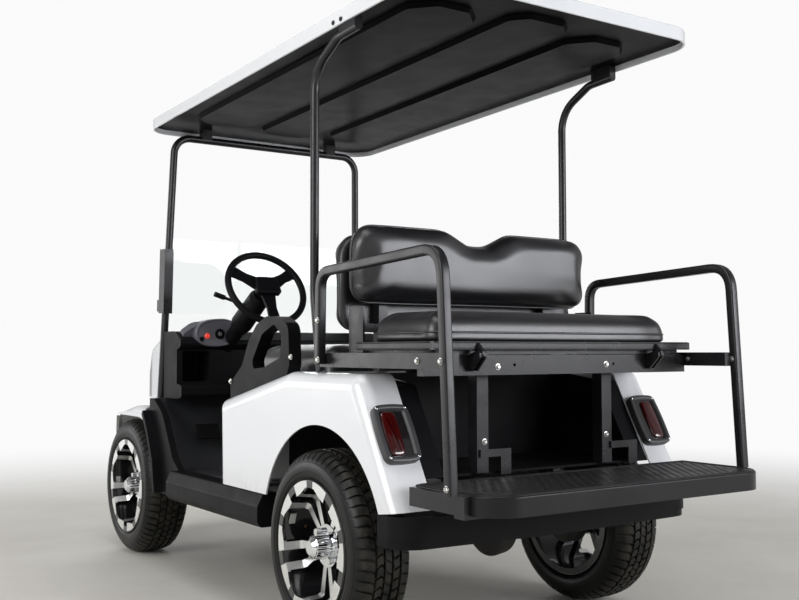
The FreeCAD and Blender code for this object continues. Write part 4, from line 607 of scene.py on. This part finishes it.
def buildCamera():
    values = {"place": (2.0429, 3.2956, 0.8422), "towards": (-0.5586, -0.8280, 0.0497), "roll": -0.0016,
              "focalPixels": 1033.7, "frameWidth": 799, "sensor": 36.0}
    lens = bpy.data.cameras.new("photoView")
    lens.sensor_width = values["sensor"]
    lens.lens = values["focalPixels"] * values["sensor"] / values["frameWidth"]
    camera = bpy.data.objects.new("photoView", lens)
    camera.location = values["place"]
    turn = Vector(values["towards"]).to_track_quat("-Z", "Y").to_matrix()
    camera.rotation_euler = (turn @ Matrix.Rotation(values["roll"], 3, "Z")).to_euler()
    collection.objects.link(camera)
    bpy.context.scene.camera = camera
    bpy.context.scene.view_settings.view_transform = "Standard"
    print("camera set")


buildStage()
buildLight()
buildCamera()


# Tyres

tyreValues = {
    "pitches": 58, "mask": 0.2655, "sharp": 38,
    # one pitch of the tread: share of the pitch, 1 on the block and 0 on the groove's floor
    "steps": ((0.0, 1), (0.25, 1), (0.50, 1), (0.765, 1), (0.80, 0), (0.965, 0)),
    # one half of the section, from the middle: across, radius, depth of the cross grooves in
    # millimetres, and how far the cross groove has turned there, in pitches
    "tread": (
        (0, 279.2, 6, 0.00), (9.5, 279.2, 6, 0.16), (10.6, 272, 0, 0.16), (15.4, 272, 0, 0.20),
        (16.5, 279.1, 7, 0.62), (22, 279.0, 7, 0.78), (29, 278.8, 7, 0.66), (35.5, 278.4, 7, 0.50),
        (36.8, 271, 0, 0.50), (42, 270.5, 0, 0.45), (43.3, 277.6, 7, 0.12), (51, 276.6, 7, 0.27),
        (60, 274.4, 7, 0.34), (67, 271.2, 6.5, 0.36), (74, 266, 5.5, 0.37), (80, 259, 4, 0.38),
        (84.6, 251, 2.6, 0.38)),
    # and down the plain sidewall: across and radius
    "sidewall": (
        (85.4, 249), (88.2, 243.4), (89.2, 243), (91.4, 235), (92.4, 227), (92.2, 219.5),
        (93, 218.9), (92.4, 215.6), (91.4, 215), (90, 208.5), (90.7, 207.8), (88.8, 203.4),
        (87.2, 203), (83.5, 197.4), (80.5, 194.2), (79.2, 193.3), (79, 178.2)),
}


def buildTyre(name, x, y):
    lastTurn = tyreValues["tread"][-1][3]
    half = list(tyreValues["tread"]) + [(a, r, 0, lastTurn) for a, r in tyreValues["sidewall"]]
    section = [(-a, r, d, -t) for a, r, d, t in reversed(half[1:])] + half
    columns = [(pitch + share, top) for pitch in range(tyreValues["pitches"])
               for share, top in tyreValues["steps"]]
    verts, mask = [], []
    for across, radius, depth, turn in section:
        for place, top in columns:
            angle = 2 * math.pi * (place + turn) / tyreValues["pitches"]
            reach = (radius - depth * (1 - top)) / 1000
            verts.append(wheelPoint(x + across / 1000, y, reach, angle))
            mask.append(1.0 if reach > tyreValues["mask"] else 0.0)
    mesh = meshOf("tyre_" + name, verts, ringFaces(len(section), len(columns), closed=True))
    mesh.attributes.new("treadMask", "FLOAT", "POINT").data.foreach_set("value", mask)
    mesh.set_sharp_from_angle(angle=math.radians(tyreValues["sharp"]))
    piece = newPiece("tread_" + name, mesh, "tyre", "wheel_" + name)
    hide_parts("tyre_" + name)


for wheelName, (wheelX, wheelY) in wheelPlaces.items():
    buildTyre(wheelName, wheelX, wheelY)
print("tyres built")


# Seats

padValues = {
    # lay: flat lies on a pan, upright stands with its back to a board. soft: width of its rounded edge
    "frontCushion": {"node": "front_seat_cushion", "body": "front_seat", "lay": "flat", "soft": 0.046},
    "rearCushion": {"node": "rear_seat_cushion", "body": "rear_seat", "lay": "flat", "soft": 0.036},
    "frontBack": {"node": "front_seat_back", "body": "chassis", "lay": "upright", "soft": 0.040},
    "rearBack": {"node": "rear_seat_back", "body": "chassis", "lay": "upright", "soft": 0.036},
}
padShape = {
    "swell": 0.010,                                       # how far the cloth may move
    "slack": 0.008, "voxel": 0.008, "pressure": 4.0, "frames": 20, "quality": 4, "smoothing": 12,
    "spacing": 0.014, "layers": 7, "foot": 0.006,
    "seatCorner": 0.055, "backCorner": 0.075, "backFoot": 0.060,
    # the dip between a back's two lobes: half its width at the foot and at the head, and their radii
    "notchDepth": 0.046, "notchFoot": (0.034, 0.06), "notchHead": (0.128, 0.09),
}


def padOutline(values, low, high):
    # Corners of the pad's outline: plan of a cushion, or front of a back with its two lobes.
    if values["lay"] == "flat":
        return boxCorners(low[:2], high[:2], padShape["seatCorner"])
    left, right, top = low[0], high[0], high[2]
    dip = top - padShape["notchDepth"]
    foot, footRadius = padShape["notchFoot"]
    head, headRadius = padShape["notchHead"]
    base, radius = padShape["backFoot"], padShape["backCorner"]
    return [(left, low[2], base), (right, low[2], base), (right, top, radius), (head, top, headRadius),
            (foot, dip, footRadius), (-foot, dip, footRadius), (-head, top, headRadius),
            (left, top, radius)]


def padSpan(name, values, slack=0.0):
    # Where the pad starts, against what carries it, and where it ends.
    low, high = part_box(values["node"])
    if values["lay"] == "flat":
        return low[2], high[2] - slack
    return (high[1], low[1] + slack) if name == "frontBack" else (low[1], high[1] - slack)


def padPoint(values, point, level):
    return (point.x, point.y, level) if values["lay"] == "flat" else (point.x, level, point.y)


def padShell(name, values):
    # The unfilled pad: a closed shell whose rounded edge faces away from what carries it.
    slack, foot, soft = padShape["slack"], padShape["foot"], values["soft"]
    path = roundedPath(padOutline(values, *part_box(values["node"])), padShape["spacing"])
    near, far = padSpan(name, values, slack)
    depth = abs(far - near)
    sign = 1 if far > near else -1
    rings = [(foot, near), (0.0, near + sign * foot), (0.0, near + sign * max(depth - soft, 0.01))]
    for step in range(1, padShape["layers"] + 1):
        angle = math.pi / 2 * step / padShape["layers"]
        level = near + sign * (depth - soft + soft * math.sin(angle))
        rings.append((soft * (1 - math.cos(angle)), level))

    def place(point, level):
        return padPoint(values, point, level)

    mesh = meshOf(name, *stacked(drawnIn(path, slack), rings, place, (0, -1)))
    turnOutwards(mesh)
    return mesh


def fillPads():
    # All pads swell together under pressure; each point stays within its own cap.
    waiting = []
    for name, values in padValues.items():
        piece = newPiece(name, padShell(name, values), "vinyl", values["body"])
        remesh = piece.modifiers.new("evenMesh", "REMESH")
        remesh.mode = "VOXEL"
        remesh.voxel_size = padShape["voxel"]
        useModifiers(piece)
        rest = [point.co.copy() for point in piece.data.vertices]
        near = padSpan(name, values)[0]
        axis = 2 if values["lay"] == "flat" else 1
        held = [index for index, place in enumerate(rest) if abs(place[axis] - near) < padShape["foot"]]
        piece.vertex_groups.new(name="held").add(held, 1.0, "REPLACE")
        cloth = piece.modifiers.new("fill", "CLOTH")
        cloth.settings.use_pressure = True
        cloth.settings.uniform_pressure_force = padShape["pressure"]
        cloth.settings.effector_weights.gravity = 0
        cloth.settings.vertex_group_mass = "held"
        cloth.settings.quality = padShape["quality"]
        cloth.collision_settings.use_collision = False
        waiting.append((name, piece, rest, values))
    scene = bpy.context.scene
    for frameNumber in range(1, padShape["frames"] + 1):
        scene.frame_set(frameNumber)
    graph = bpy.context.evaluated_depsgraph_get()
    for name, piece, rest, values in waiting:
        swollen = piece.evaluated_get(graph).to_mesh()
        places = [point.co.copy() for point in swollen.vertices]
        piece.evaluated_get(graph).to_mesh_clear()
        piece.modifiers.clear()
        for point, start, end in zip(piece.data.vertices, rest, places):
            move = end - start
            limit = padShape["swell"]
            point.co = start + (move * (limit / move.length) if move.length > limit else move)
        smooth = piece.modifiers.new("even", "SMOOTH")
        smooth.iterations = padShape["smoothing"]
        finer = piece.modifiers.new("finer", "SUBSURF")
        finer.levels = 1
        useModifiers(piece)
        piece.data.shade_smooth()
        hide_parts(values["node"])
    scene.frame_set(1)
    print("seats filled")


fillPads()


# Bars, fasteners and small fittings

def bentRoute(points, x, steps=9):
    # A route in the YZ plane through (y, z, radius) corners, as points in space.
    route = [Vector((x, points[0][0], points[0][1]))]
    for index in range(1, len(points) - 1):
        before, here, after = (Vector((x, *points[index + step][:2])) for step in (-1, 0, 1))
        arrive, leave = (here - before).normalized(), (after - here).normalized()
        radius = points[index][2]
        reach = radius * math.tan(arrive.angle(leave) / 2)
        start, end = here - arrive * reach, here + leave * reach
        for step in range(steps + 1):
            share = step / steps
            bend = (1 - share) ** 2 * start + 2 * share * (1 - share) * here + share ** 2 * end
            route.append(bend)
    route.append(Vector((x, points[-1][0], points[-1][1])))
    return route


def roundedSquare(half, radius, steps=4):
    corners = []
    for quarter in range(4):
        centre = Vector((half - radius, half - radius))
        for step in range(steps + 1):
            angle = math.pi / 2 * step / steps
            point = centre + Vector((math.cos(angle), math.sin(angle))) * radius
            corners.append(Matrix.Rotation(math.pi / 2 * quarter, 2) @ point)
    return corners


def circle(radius, count=10):
    return [Vector((math.cos(2 * math.pi * k / count), math.sin(2 * math.pi * k / count))) * radius
            for k in range(count)]


def sweep(route, profile, side, closed=False):
    # The profile carried along the route; side is the profile's first axis where the route allows it.
    verts = []
    count, rows = len(profile), len(route)
    for index, point in enumerate(route):
        before = route[index - 1] if index or closed else point
        after = route[(index + 1) % rows] if index < rows - 1 or closed else point
        along = (after - before).normalized()
        first = (side - along * side.dot(along)).normalized()
        second = along.cross(first)
        verts += [point + first * corner.x + second * corner.y for corner in profile]
    faces = ringFaces(rows, count, closed)
    if not closed:
        faces += [tuple(reversed(ringCap(0, count))), ringCap(rows - 1, count)]
    return verts, faces


def turned(centre, axis, profile, count=20):
    # A lathe form: profile points are (radius, height along the axis), closed at the top.
    axis = Vector(axis).normalized()
    first = axis.orthogonal().normalized()
    second = axis.cross(first)

    def place(row, angle):
        radius, height = row
        return Vector(centre) + axis * height + (first * math.cos(angle) + second * math.sin(angle)) * radius

    return spun(profile, count, place, (-1,))


def extruded(outline, axis, low, high, edge=0.0012):
    # An outline of (u, v) points thickened along axis, with a small edge; u and v are the other axes.
    def place(point, level):
        spot = [point.x, point.y]
        spot.insert(axis, level)
        return Vector(spot)

    rings = ((0.0, low), (0.0, high - edge), (edge, high))
    return stacked([Vector(point) for point in outline], rings, place, (0, -1))


def hoop(corners, spacing, inset, level, radius):
    # A round bead that runs level along a rounded outline.
    path = drawnIn(roundedPath(corners, spacing), inset)
    line = [Vector((point.x, point.y, level)) for point in path]
    return sweep(line, circle(radius), Vector((0, 0, 1)), closed=True)


def gather(parts):
    verts, faces = [], []
    for partVerts, partFaces in parts:
        start = len(verts)
        verts += [tuple(point) for point in partVerts]
        faces += [tuple(start + index for index in face) for face in partFaces]
    return verts, faces


def fitted(name, parts, finish, sharp=35, body="chassis"):
    mesh = meshOf(name, *gather(parts))
    turnOutwards(mesh)
    mesh.set_sharp_from_angle(angle=math.radians(sharp))
    return newPiece(name, mesh, finish, body)


barValues = {"x": 0.5427, "half": 0.0135, "corner": 0.005, "foot": (1.293, 0.4952),
             "route": ((1.2585, 1.100, 0.075), (0.6595, 1.0745, 0.056)), "head": (0.654, 0.806)}


def buildBars():
    values = barValues
    for label, side in (("left", 1), ("right", -1)):
        points = (values["foot"], *values["route"], values["head"])
        route = bentRoute(points, values["x"] * side)
        bar = sweep(route, roundedSquare(values["half"], values["corner"]), Vector((side, 0, 0)))
        piece = fitted("grabBar_" + label, [bar], "steel", 50)
        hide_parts("grab_bar_" + label)
    print("grab bars bent")


buildBars()


boltValues = {
    # lathe profiles as (radius, height)
    "hex": ((0.0088, 0.0), (0.0088, 0.0014), (0.0080, 0.0016)),
    "hexHead": ((0.0066, 0.0014), (0.0066, 0.0052), (0.0050, 0.0066)),
    "dome": ((0.0075, 0.0), (0.0072, 0.0016), (0.0058, 0.0034), (0.0032, 0.0044), (0.0026, 0.0044),
             (0.0024, 0.0030)),
    "screw": ((0.0042, 0.0), (0.0041, 0.0008), (0.0032, 0.0019), (0.0014, 0.0023)),
    # on the left face that carries each; its twin on the right points the other way
    "brightPairs": ((0.5562, 0.665, 0.9335), (0.5562, 0.668, 0.8185), (0.5562, 1.2705, 0.8180),
                    (0.5562, 1.2920, 0.512), (0.5287, 1.132, 0.818)),
    "darkPairs": ((0.5305, 0.7085, 1.806), (0.5305, 0.752, 1.806)),
    # bolts on their own, and the way they point
    "sideways": ((-0.5292, 1.2705, 0.818), (-0.5000, 1.128, 0.818), (0.522, 0.4373, 0.8255),
                 (0.522, -0.0027, 0.74)),
    "backwards": ((0.234, 1.035, 0.591), (-0.236, 1.035, 0.591), (0.2497, 1.114, 0.800),
                  (-0.1596, 1.114, 0.804)),
}


def buildBolts():
    def pairs(places):
        return [((x * side, y, z), (side, 0, 0)) for x, y, z in places for side in (1, -1)]

    spots = pairs(boltValues["brightPairs"])
    spots += [(place, (1, 0, 0)) for place in boltValues["sideways"]]
    spots += [(place, (0, 1, 0)) for place in boltValues["backwards"]]
    bright = []
    for place, axis in spots:
        bright.append(turned(place, axis, boltValues["hex"], 24))
        bright.append(turned(place, axis, boltValues["hexHead"], 6))
    dark = [turned(place, axis, boltValues["dome"]) for place, axis in pairs(boltValues["darkPairs"])]
    fitted("brightBolts", bright, "zinc", 30)
    fitted("roofBolts", dark, "oldSteel", 30)
    print("bolts set")


buildBolts()


treadValues = {
    "level": 0.500, "half": 0.508, "front": 1.093, "rear": 1.410, "corner": 0.088, "frontCorner": 0.012,
    "lug": (0.0080, 0.0022), "high": 0.0011, "pitch": (0.0290, 0.0200), "margin": 0.034,
    "lips": ((0.007, 0.0030), (0.021, 0.0024)),           # distance in from the edge, and radius
    # one lug: its eight corners as shares of its size, and its rings as (height, width)
    "corners": ((-1, -0.5), (-0.8, -1), (0.8, -1), (1, -0.5), (1, 0.5), (0.8, 1), (-0.8, 1), (-1, 0.5)),
    "rings": ((0.0, 1.0), (0.6, 0.86), (1.0, 0.55)),
}


def buildTread():
    # Staggered rows of short raised bars inside a double lip.
    values = treadValues
    halfLong, halfWide = values["lug"]
    base, high = values["level"], values["high"]
    edge = values["margin"]
    sides = len(values["corners"])
    lugFaces = ringFaces(len(values["rings"]), sides) + [ringCap(len(values["rings"]) - 1, sides)]
    lugs = []
    rows = int((values["rear"] - values["front"] - 2 * edge) / values["pitch"][1])
    for row in range(rows + 1):
        y = values["front"] + edge + row * values["pitch"][1]
        shift = values["pitch"][0] / 2 if row % 2 else 0
        count = int((values["half"] - edge) / values["pitch"][0])
        for col in range(-count, count + 1):
            x = col * values["pitch"][0] + shift
            inCorner = y > values["rear"] - values["corner"] and abs(x) > values["half"] - values["corner"]
            if abs(x) > values["half"] - edge or inCorner:
                continue
            verts = []
            for level, share in values["rings"]:
                long, wide, z = halfLong * (0.75 + share / 4), halfWide * share, base + level * high
                verts += [(x + u * long, y + v * wide, z) for u, v in values["corners"]]
            lugs.append((verts, lugFaces))
    outline = boxCorners((-values["half"], values["front"]), (values["half"], values["rear"]),
                         values["frontCorner"], values["corner"])
    for inset, radius in values["lips"]:
        lugs.append(hoop(outline, 0.012, inset, base - radius * 0.3, radius))
    fitted("footplateTread", lugs, "tread", 40)
    print("footplate tread pressed")


buildTread()


deckValues = {
    "half": 0.491, "front": 0.770, "rear": 1.143, "corners": (0.010, 0.014),
    "lips": ((0.8665, 0.0028), (0.8490, 0.0026)),         # height and radius
    "pan": {"half": 0.470, "front": 0.800, "rear": 1.118, "low": 0.8338, "high": 0.8462, "corner": 0.012},
}


def buildDeck():
    # The folded lips round the deck and the shallow pan pressed under it.
    values, pan = deckValues, deckValues["pan"]
    outline = boxCorners((-values["half"], values["front"]), (values["half"], values["rear"]),
                         *values["corners"])
    parts = [hoop(outline, 0.02, 0.0006, level, radius) for level, radius in values["lips"]]
    corners = boxCorners((-pan["half"], pan["front"]), (pan["half"], pan["rear"]), pan["corner"])
    parts.append(extruded(roundedPath(corners, 0.05), 2, pan["low"], pan["high"]))
    fitted("deckLips", parts, "steel", 40, "rear_seat")
    print("deck lips folded")


buildDeck()


bracketValues = {
    # an L seen from behind: x of its joined end, outer side and inner side, then its three levels
    "face": 1.0352, "thick": 0.006, "across": ((0.252, 0.143, 0.180), (-0.252, -0.363, -0.326)),
    "levels": (0.570, 0.549, 0.4985),
}


def buildBrackets():
    top, step, foot = bracketValues["levels"]
    face = bracketValues["face"]
    parts = []
    for joined, outer, inner in bracketValues["across"]:
        outline = ((joined, top), (outer, top), (outer, foot), (inner, foot), (inner, step), (joined, step))
        parts.append(extruded(outline, 1, face, face + bracketValues["thick"], 0.0))
    fitted("footBrackets", parts, "steel", 30)
    print("brackets cut")


buildBrackets()


lampValues = {
    "centre": (0.4885, 0.9726, 0.6205), "slope": 29.28, "halfWide": 0.0545, "halfHigh": 0.081,
    "bow": 0.0045, "corner": 0.016, "frame": 0.0155, "proud": 0.0125, "skirt": 0.010, "floor": 0.0015,
    "screwInset": 0.0085,
    # the red block: share of the opening's width, corner, bow, and its rings as (distance in, height)
    "redShare": 0.64, "redCorner": 0.010, "redBow": 0.003, "redMargin": 0.003,
    "redRings": ((0.0, 0.001), (0.0, 0.0045), (0.0015, 0.007), (0.005, 0.0088), (0.011, 0.0098),
                 (0.018, 0.0102)),
}


def lampOutline(wide, high, corner, bow):
    # A rounded box outline whose four sides bow outwards, anticlockwise from the lower right.
    bowed = []
    for point in roundedPath(boxCorners((-wide, -high), (wide, high), corner), 0.006):
        u, v = point.x / wide, point.y / high
        bowed.append(Vector((point.x + bow * u * (1 - v * v), point.y + bow * v * (1 - u * u))))
    return bowed


def buildLamps():
    values = lampValues
    tilt = math.radians(values["slope"])
    outward = Vector((0, math.cos(tilt), math.sin(tilt)))
    upward = Vector((0, -math.sin(tilt), math.cos(tilt)))
    halfWide, halfHigh = values["halfWide"], values["halfHigh"]
    wide, proud, floor = values["frame"], values["proud"], values["floor"]
    outline = lampOutline(halfWide, halfHigh, values["corner"], values["bow"])
    rings = ((0.0, -values["skirt"]), (0.0, proud - 0.005), (0.0015, proud - 0.0015), (0.005, proud),
             (wide - 0.004, proud), (wide - 0.001, proud - 0.002), (wide + 0.0035, floor))
    innerWide, innerHigh = (half - wide - values["redMargin"] for half in (halfWide, halfHigh))
    share = values["redShare"]
    redPath = lampOutline(innerWide * share, innerHigh, values["redCorner"], values["redBow"])
    shift = Vector((innerWide * (1 - share), 0))
    spots = [Vector((u * (halfWide - values["screwInset"]), v * (halfHigh - values["screwInset"])))
             for u, v in ((-1, -1), (1, -1), (1, 1), (-1, 1))]
    frames, reds, floors, screws = [], [], [], []
    for side in (1, -1):
        centre = Vector((values["centre"][0] * side, *values["centre"][1:]))
        across = Vector((side, 0, 0))

        def lay(point, height):
            return centre + across * point.x + upward * point.y + outward * height

        def layRed(point, height):
            return lay(point + shift, height)

        frames.append(stacked(outline, rings, lay))
        floors.append(stacked(outline, ((wide + 0.002, floor + 0.0004),), lay, (0,)))
        reds.append(stacked(redPath, values["redRings"], layRed, (-1,)))
        for spot in spots:
            screws.append(turned(lay(spot, proud - 0.0002), outward, boltValues["screw"], 16))
    bezel = fitted("lampBezels", frames, "bezel", 40)
    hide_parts("tail_lamp_bezels")
    fitted("lampFloors", floors, "smoke")
    lens = fitted("lampLenses", reds, "red", 50)
    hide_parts("tail_lamp_lenses")
    fitted("lampScrews", screws, "chrome", 40)
    print("tail lamps built")


buildLamps()


podValues = {
    "centre": (0.314, -0.578, 0.9195), "half": (0.097, 0.0565), "lean": -4, "boxiness": 0.86,
    # the oval's rings: share of its size, and how far behind the face
    "rings": ((1.0, -0.060), (1.0, -0.010), (0.985, -0.004), (0.94, 0.0), (0.90, 0.0), (0.88, -0.0018)),
    # turned parts: x, z, how far ahead they start, and their profile
    "switch": (0.306, 0.914, 0.0, ((0.021, 0.0), (0.021, 0.003), (0.019, 0.0045), (0.0145, 0.0045),
                                   (0.013, 0.003), (0.0125, 0.007), (0.011, 0.008))),
    "socket": (0.384, 0.893, 0.0, ((0.010, 0.0), (0.010, 0.003), (0.008, 0.004), (0.005, 0.004),
                                   (0.004, 0.002))),
    "key": (0.306, 0.914, 0.006, ((0.0085, 0.0), (0.0085, 0.0035), (0.0075, 0.0042), (0.003, 0.0042),
                                  (0.0025, 0.0025))),
    "light": (0.360, 0.9055, 0.0, ((0.0115, 0.0), (0.0115, 0.003), (0.010, 0.006), (0.007, 0.0085),
                                   (0.003, 0.0098))),
}


def buildPod():
    # The oval switch face that stands on the front of the dashboard.
    values = podValues
    cx, face, cz = values["centre"]
    wide, high = values["half"]
    lean = math.radians(values["lean"])

    def boxed(turn):
        return math.copysign(abs(turn) ** values["boxiness"], turn)

    def place(row, angle):
        share, back = row
        u, v = wide * share * boxed(math.cos(angle)), high * share * boxed(math.sin(angle))
        return (cx + u * math.cos(lean) - v * math.sin(lean), face + back,
                cz + u * math.sin(lean) + v * math.cos(lean))

    def turnedPart(part, count):
        x, z, ahead, profile = values[part]
        return turned((x, face - 0.002 + ahead, z), (0, 1, 0), profile, count)

    fitted("podFace", [spun(values["rings"], 56, place, (-1,))], "pod", 40)
    fitted("podSwitches", [turnedPart("switch", 32), turnedPart("socket", 24)], "black")
    fitted("podKey", [turnedPart("key", 24)], "chrome")
    fitted("podLight", [turnedPart("light", 28)], "redGlow", 50)
    print("switch pod built")


buildPod()


capValues = {"reach": (0.0045, 0.0505), "radius": 0.0322, "flute": 0.0022, "flutes": 10}


def buildCaps():
    # The fluted sleeve of each chrome centre cap.
    values = capValues
    for name, (x, y) in wheelPlaces.items():
        side = 1 if x > 0 else -1
        low, high = (rimDepths[name.split("_")[0]][1] + reach for reach in values["reach"])

        def place(row, angle):
            across, extra = row
            swell = values["flute"] * (abs(math.sin(angle * values["flutes"] / 2)) - 0.5)
            return wheelPoint(across * side, y, values["radius"] + extra + swell, angle)

        rings = ((low, 0.0005), (low, 0), (high - 0.002, 0), (high, -0.0024))
        sleeve = spun(rings, values["flutes"] * 6, place)
        fitted("capFlutes_" + name, [sleeve], "chrome", 20, "wheel_" + name)
    print("caps fluted")


buildCaps()


weightValues = {
    # wheel, finish, across, radius, angle about the axle, half its length in degrees, half its width
    "rows": (("rear_left", "lead", 0.5512, 0.1700, 159, 5.5, 0.0095),
             ("front_left", "lead", 0.5151, 0.1700, 179, 5.0, 0.0095),
             ("rear_left", "copper", 0.5019, 0.1705, 169.3, 1.1, 0.0038)),
    "thin": 0.0022, "steps": 3,
}


def buildWeights():
    # Stick-on balance weights inside the left wheels, and a small copper patch beside one.
    thin, steps = weightValues["thin"], weightValues["steps"]
    for wheel, finish, across, radius, middle, spread, wide in weightValues["rows"]:
        y = wheelPlaces[wheel][1]
        corners = ((-wide, -thin), (wide, -thin), (wide, thin), (-wide, thin))
        angles = [math.radians(middle + spread * step / steps) for step in range(-steps, steps + 1)]
        route = [Vector(wheelPoint(across, y, radius, angle)) for angle in angles]
        strip = sweep(route, [Vector(corner) for corner in corners], Vector((1, 0, 0)))
        fitted(finish + "_" + wheel, [strip], finish, 30, "wheel_" + wheel)
    print("balance weights stuck")


buildWeights()


ringValues = {
    "centre": (0.236, 0.560), "front": -1.372,
    "section": ((0.0595, -0.022), (0.0680, -0.022), (0.0690, 0.0), (0.0665, 0.0045), (0.0620, 0.0055),
                (0.0595, 0.0030), (0.0590, -0.0060)),
}


def buildHeadlampRings():
    # A moulded trim ring round each headlamp.
    parts = []
    for side in (1, -1):
        x, z = ringValues["centre"]
        verts, faces = turned((x * side, ringValues["front"], z), (0, -1, 0), ringValues["section"], 56)
        parts.append((verts, faces[:-1]))
    fitted("headlampRings", parts, "chrome", 40)
    print("headlamp rings set")


buildHeadlampRings()


weltValues = {"radius": 0.0031, "sides": 8, "proud": 0.0006, "level": 0.30, "spacing": 0.010,
              "search": (-0.05, 0.03)}    # where the search for the pad's side starts and ends


def buildWelts():
    # A piped seam round each pad, laid on its swollen side.
    for name, values in padValues.items():
        piece = bpy.data.objects[name]
        tree = BVHTree.FromPolygons([point.co for point in piece.data.vertices],
                                    [tuple(face.vertices) for face in piece.data.polygons])
        outline = roundedPath(padOutline(values, *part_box(values["node"])), weltValues["spacing"])
        near, far = padSpan(name, values)
        level = near + (far - near) * weltValues["level"]
        route = []
        for outer, inner in zip(*(drawnIn(outline, inset) for inset in weltValues["search"])):
            start, end = (Vector(padPoint(values, point, level)) for point in (outer, inner))
            way = (end - start).normalized()
            hit = tree.ray_cast(start, way)[0]
            if hit is not None:
                route.append(hit - way * weltValues["proud"])
        smooth = [(route[k - 1] + route[k] * 2 + route[(k + 1) % len(route)]) / 4 for k in range(len(route))]
        side = Vector(padPoint(values, Vector((0, 0)), 1))
        verts, faces = sweep(smooth, circle(weltValues["radius"], weltValues["sides"]), side,
                             closed=True)
        fitted("welt_" + name, [(verts, faces)], "vinyl", 60, values["body"])
    print("welts sewn")


buildWelts()
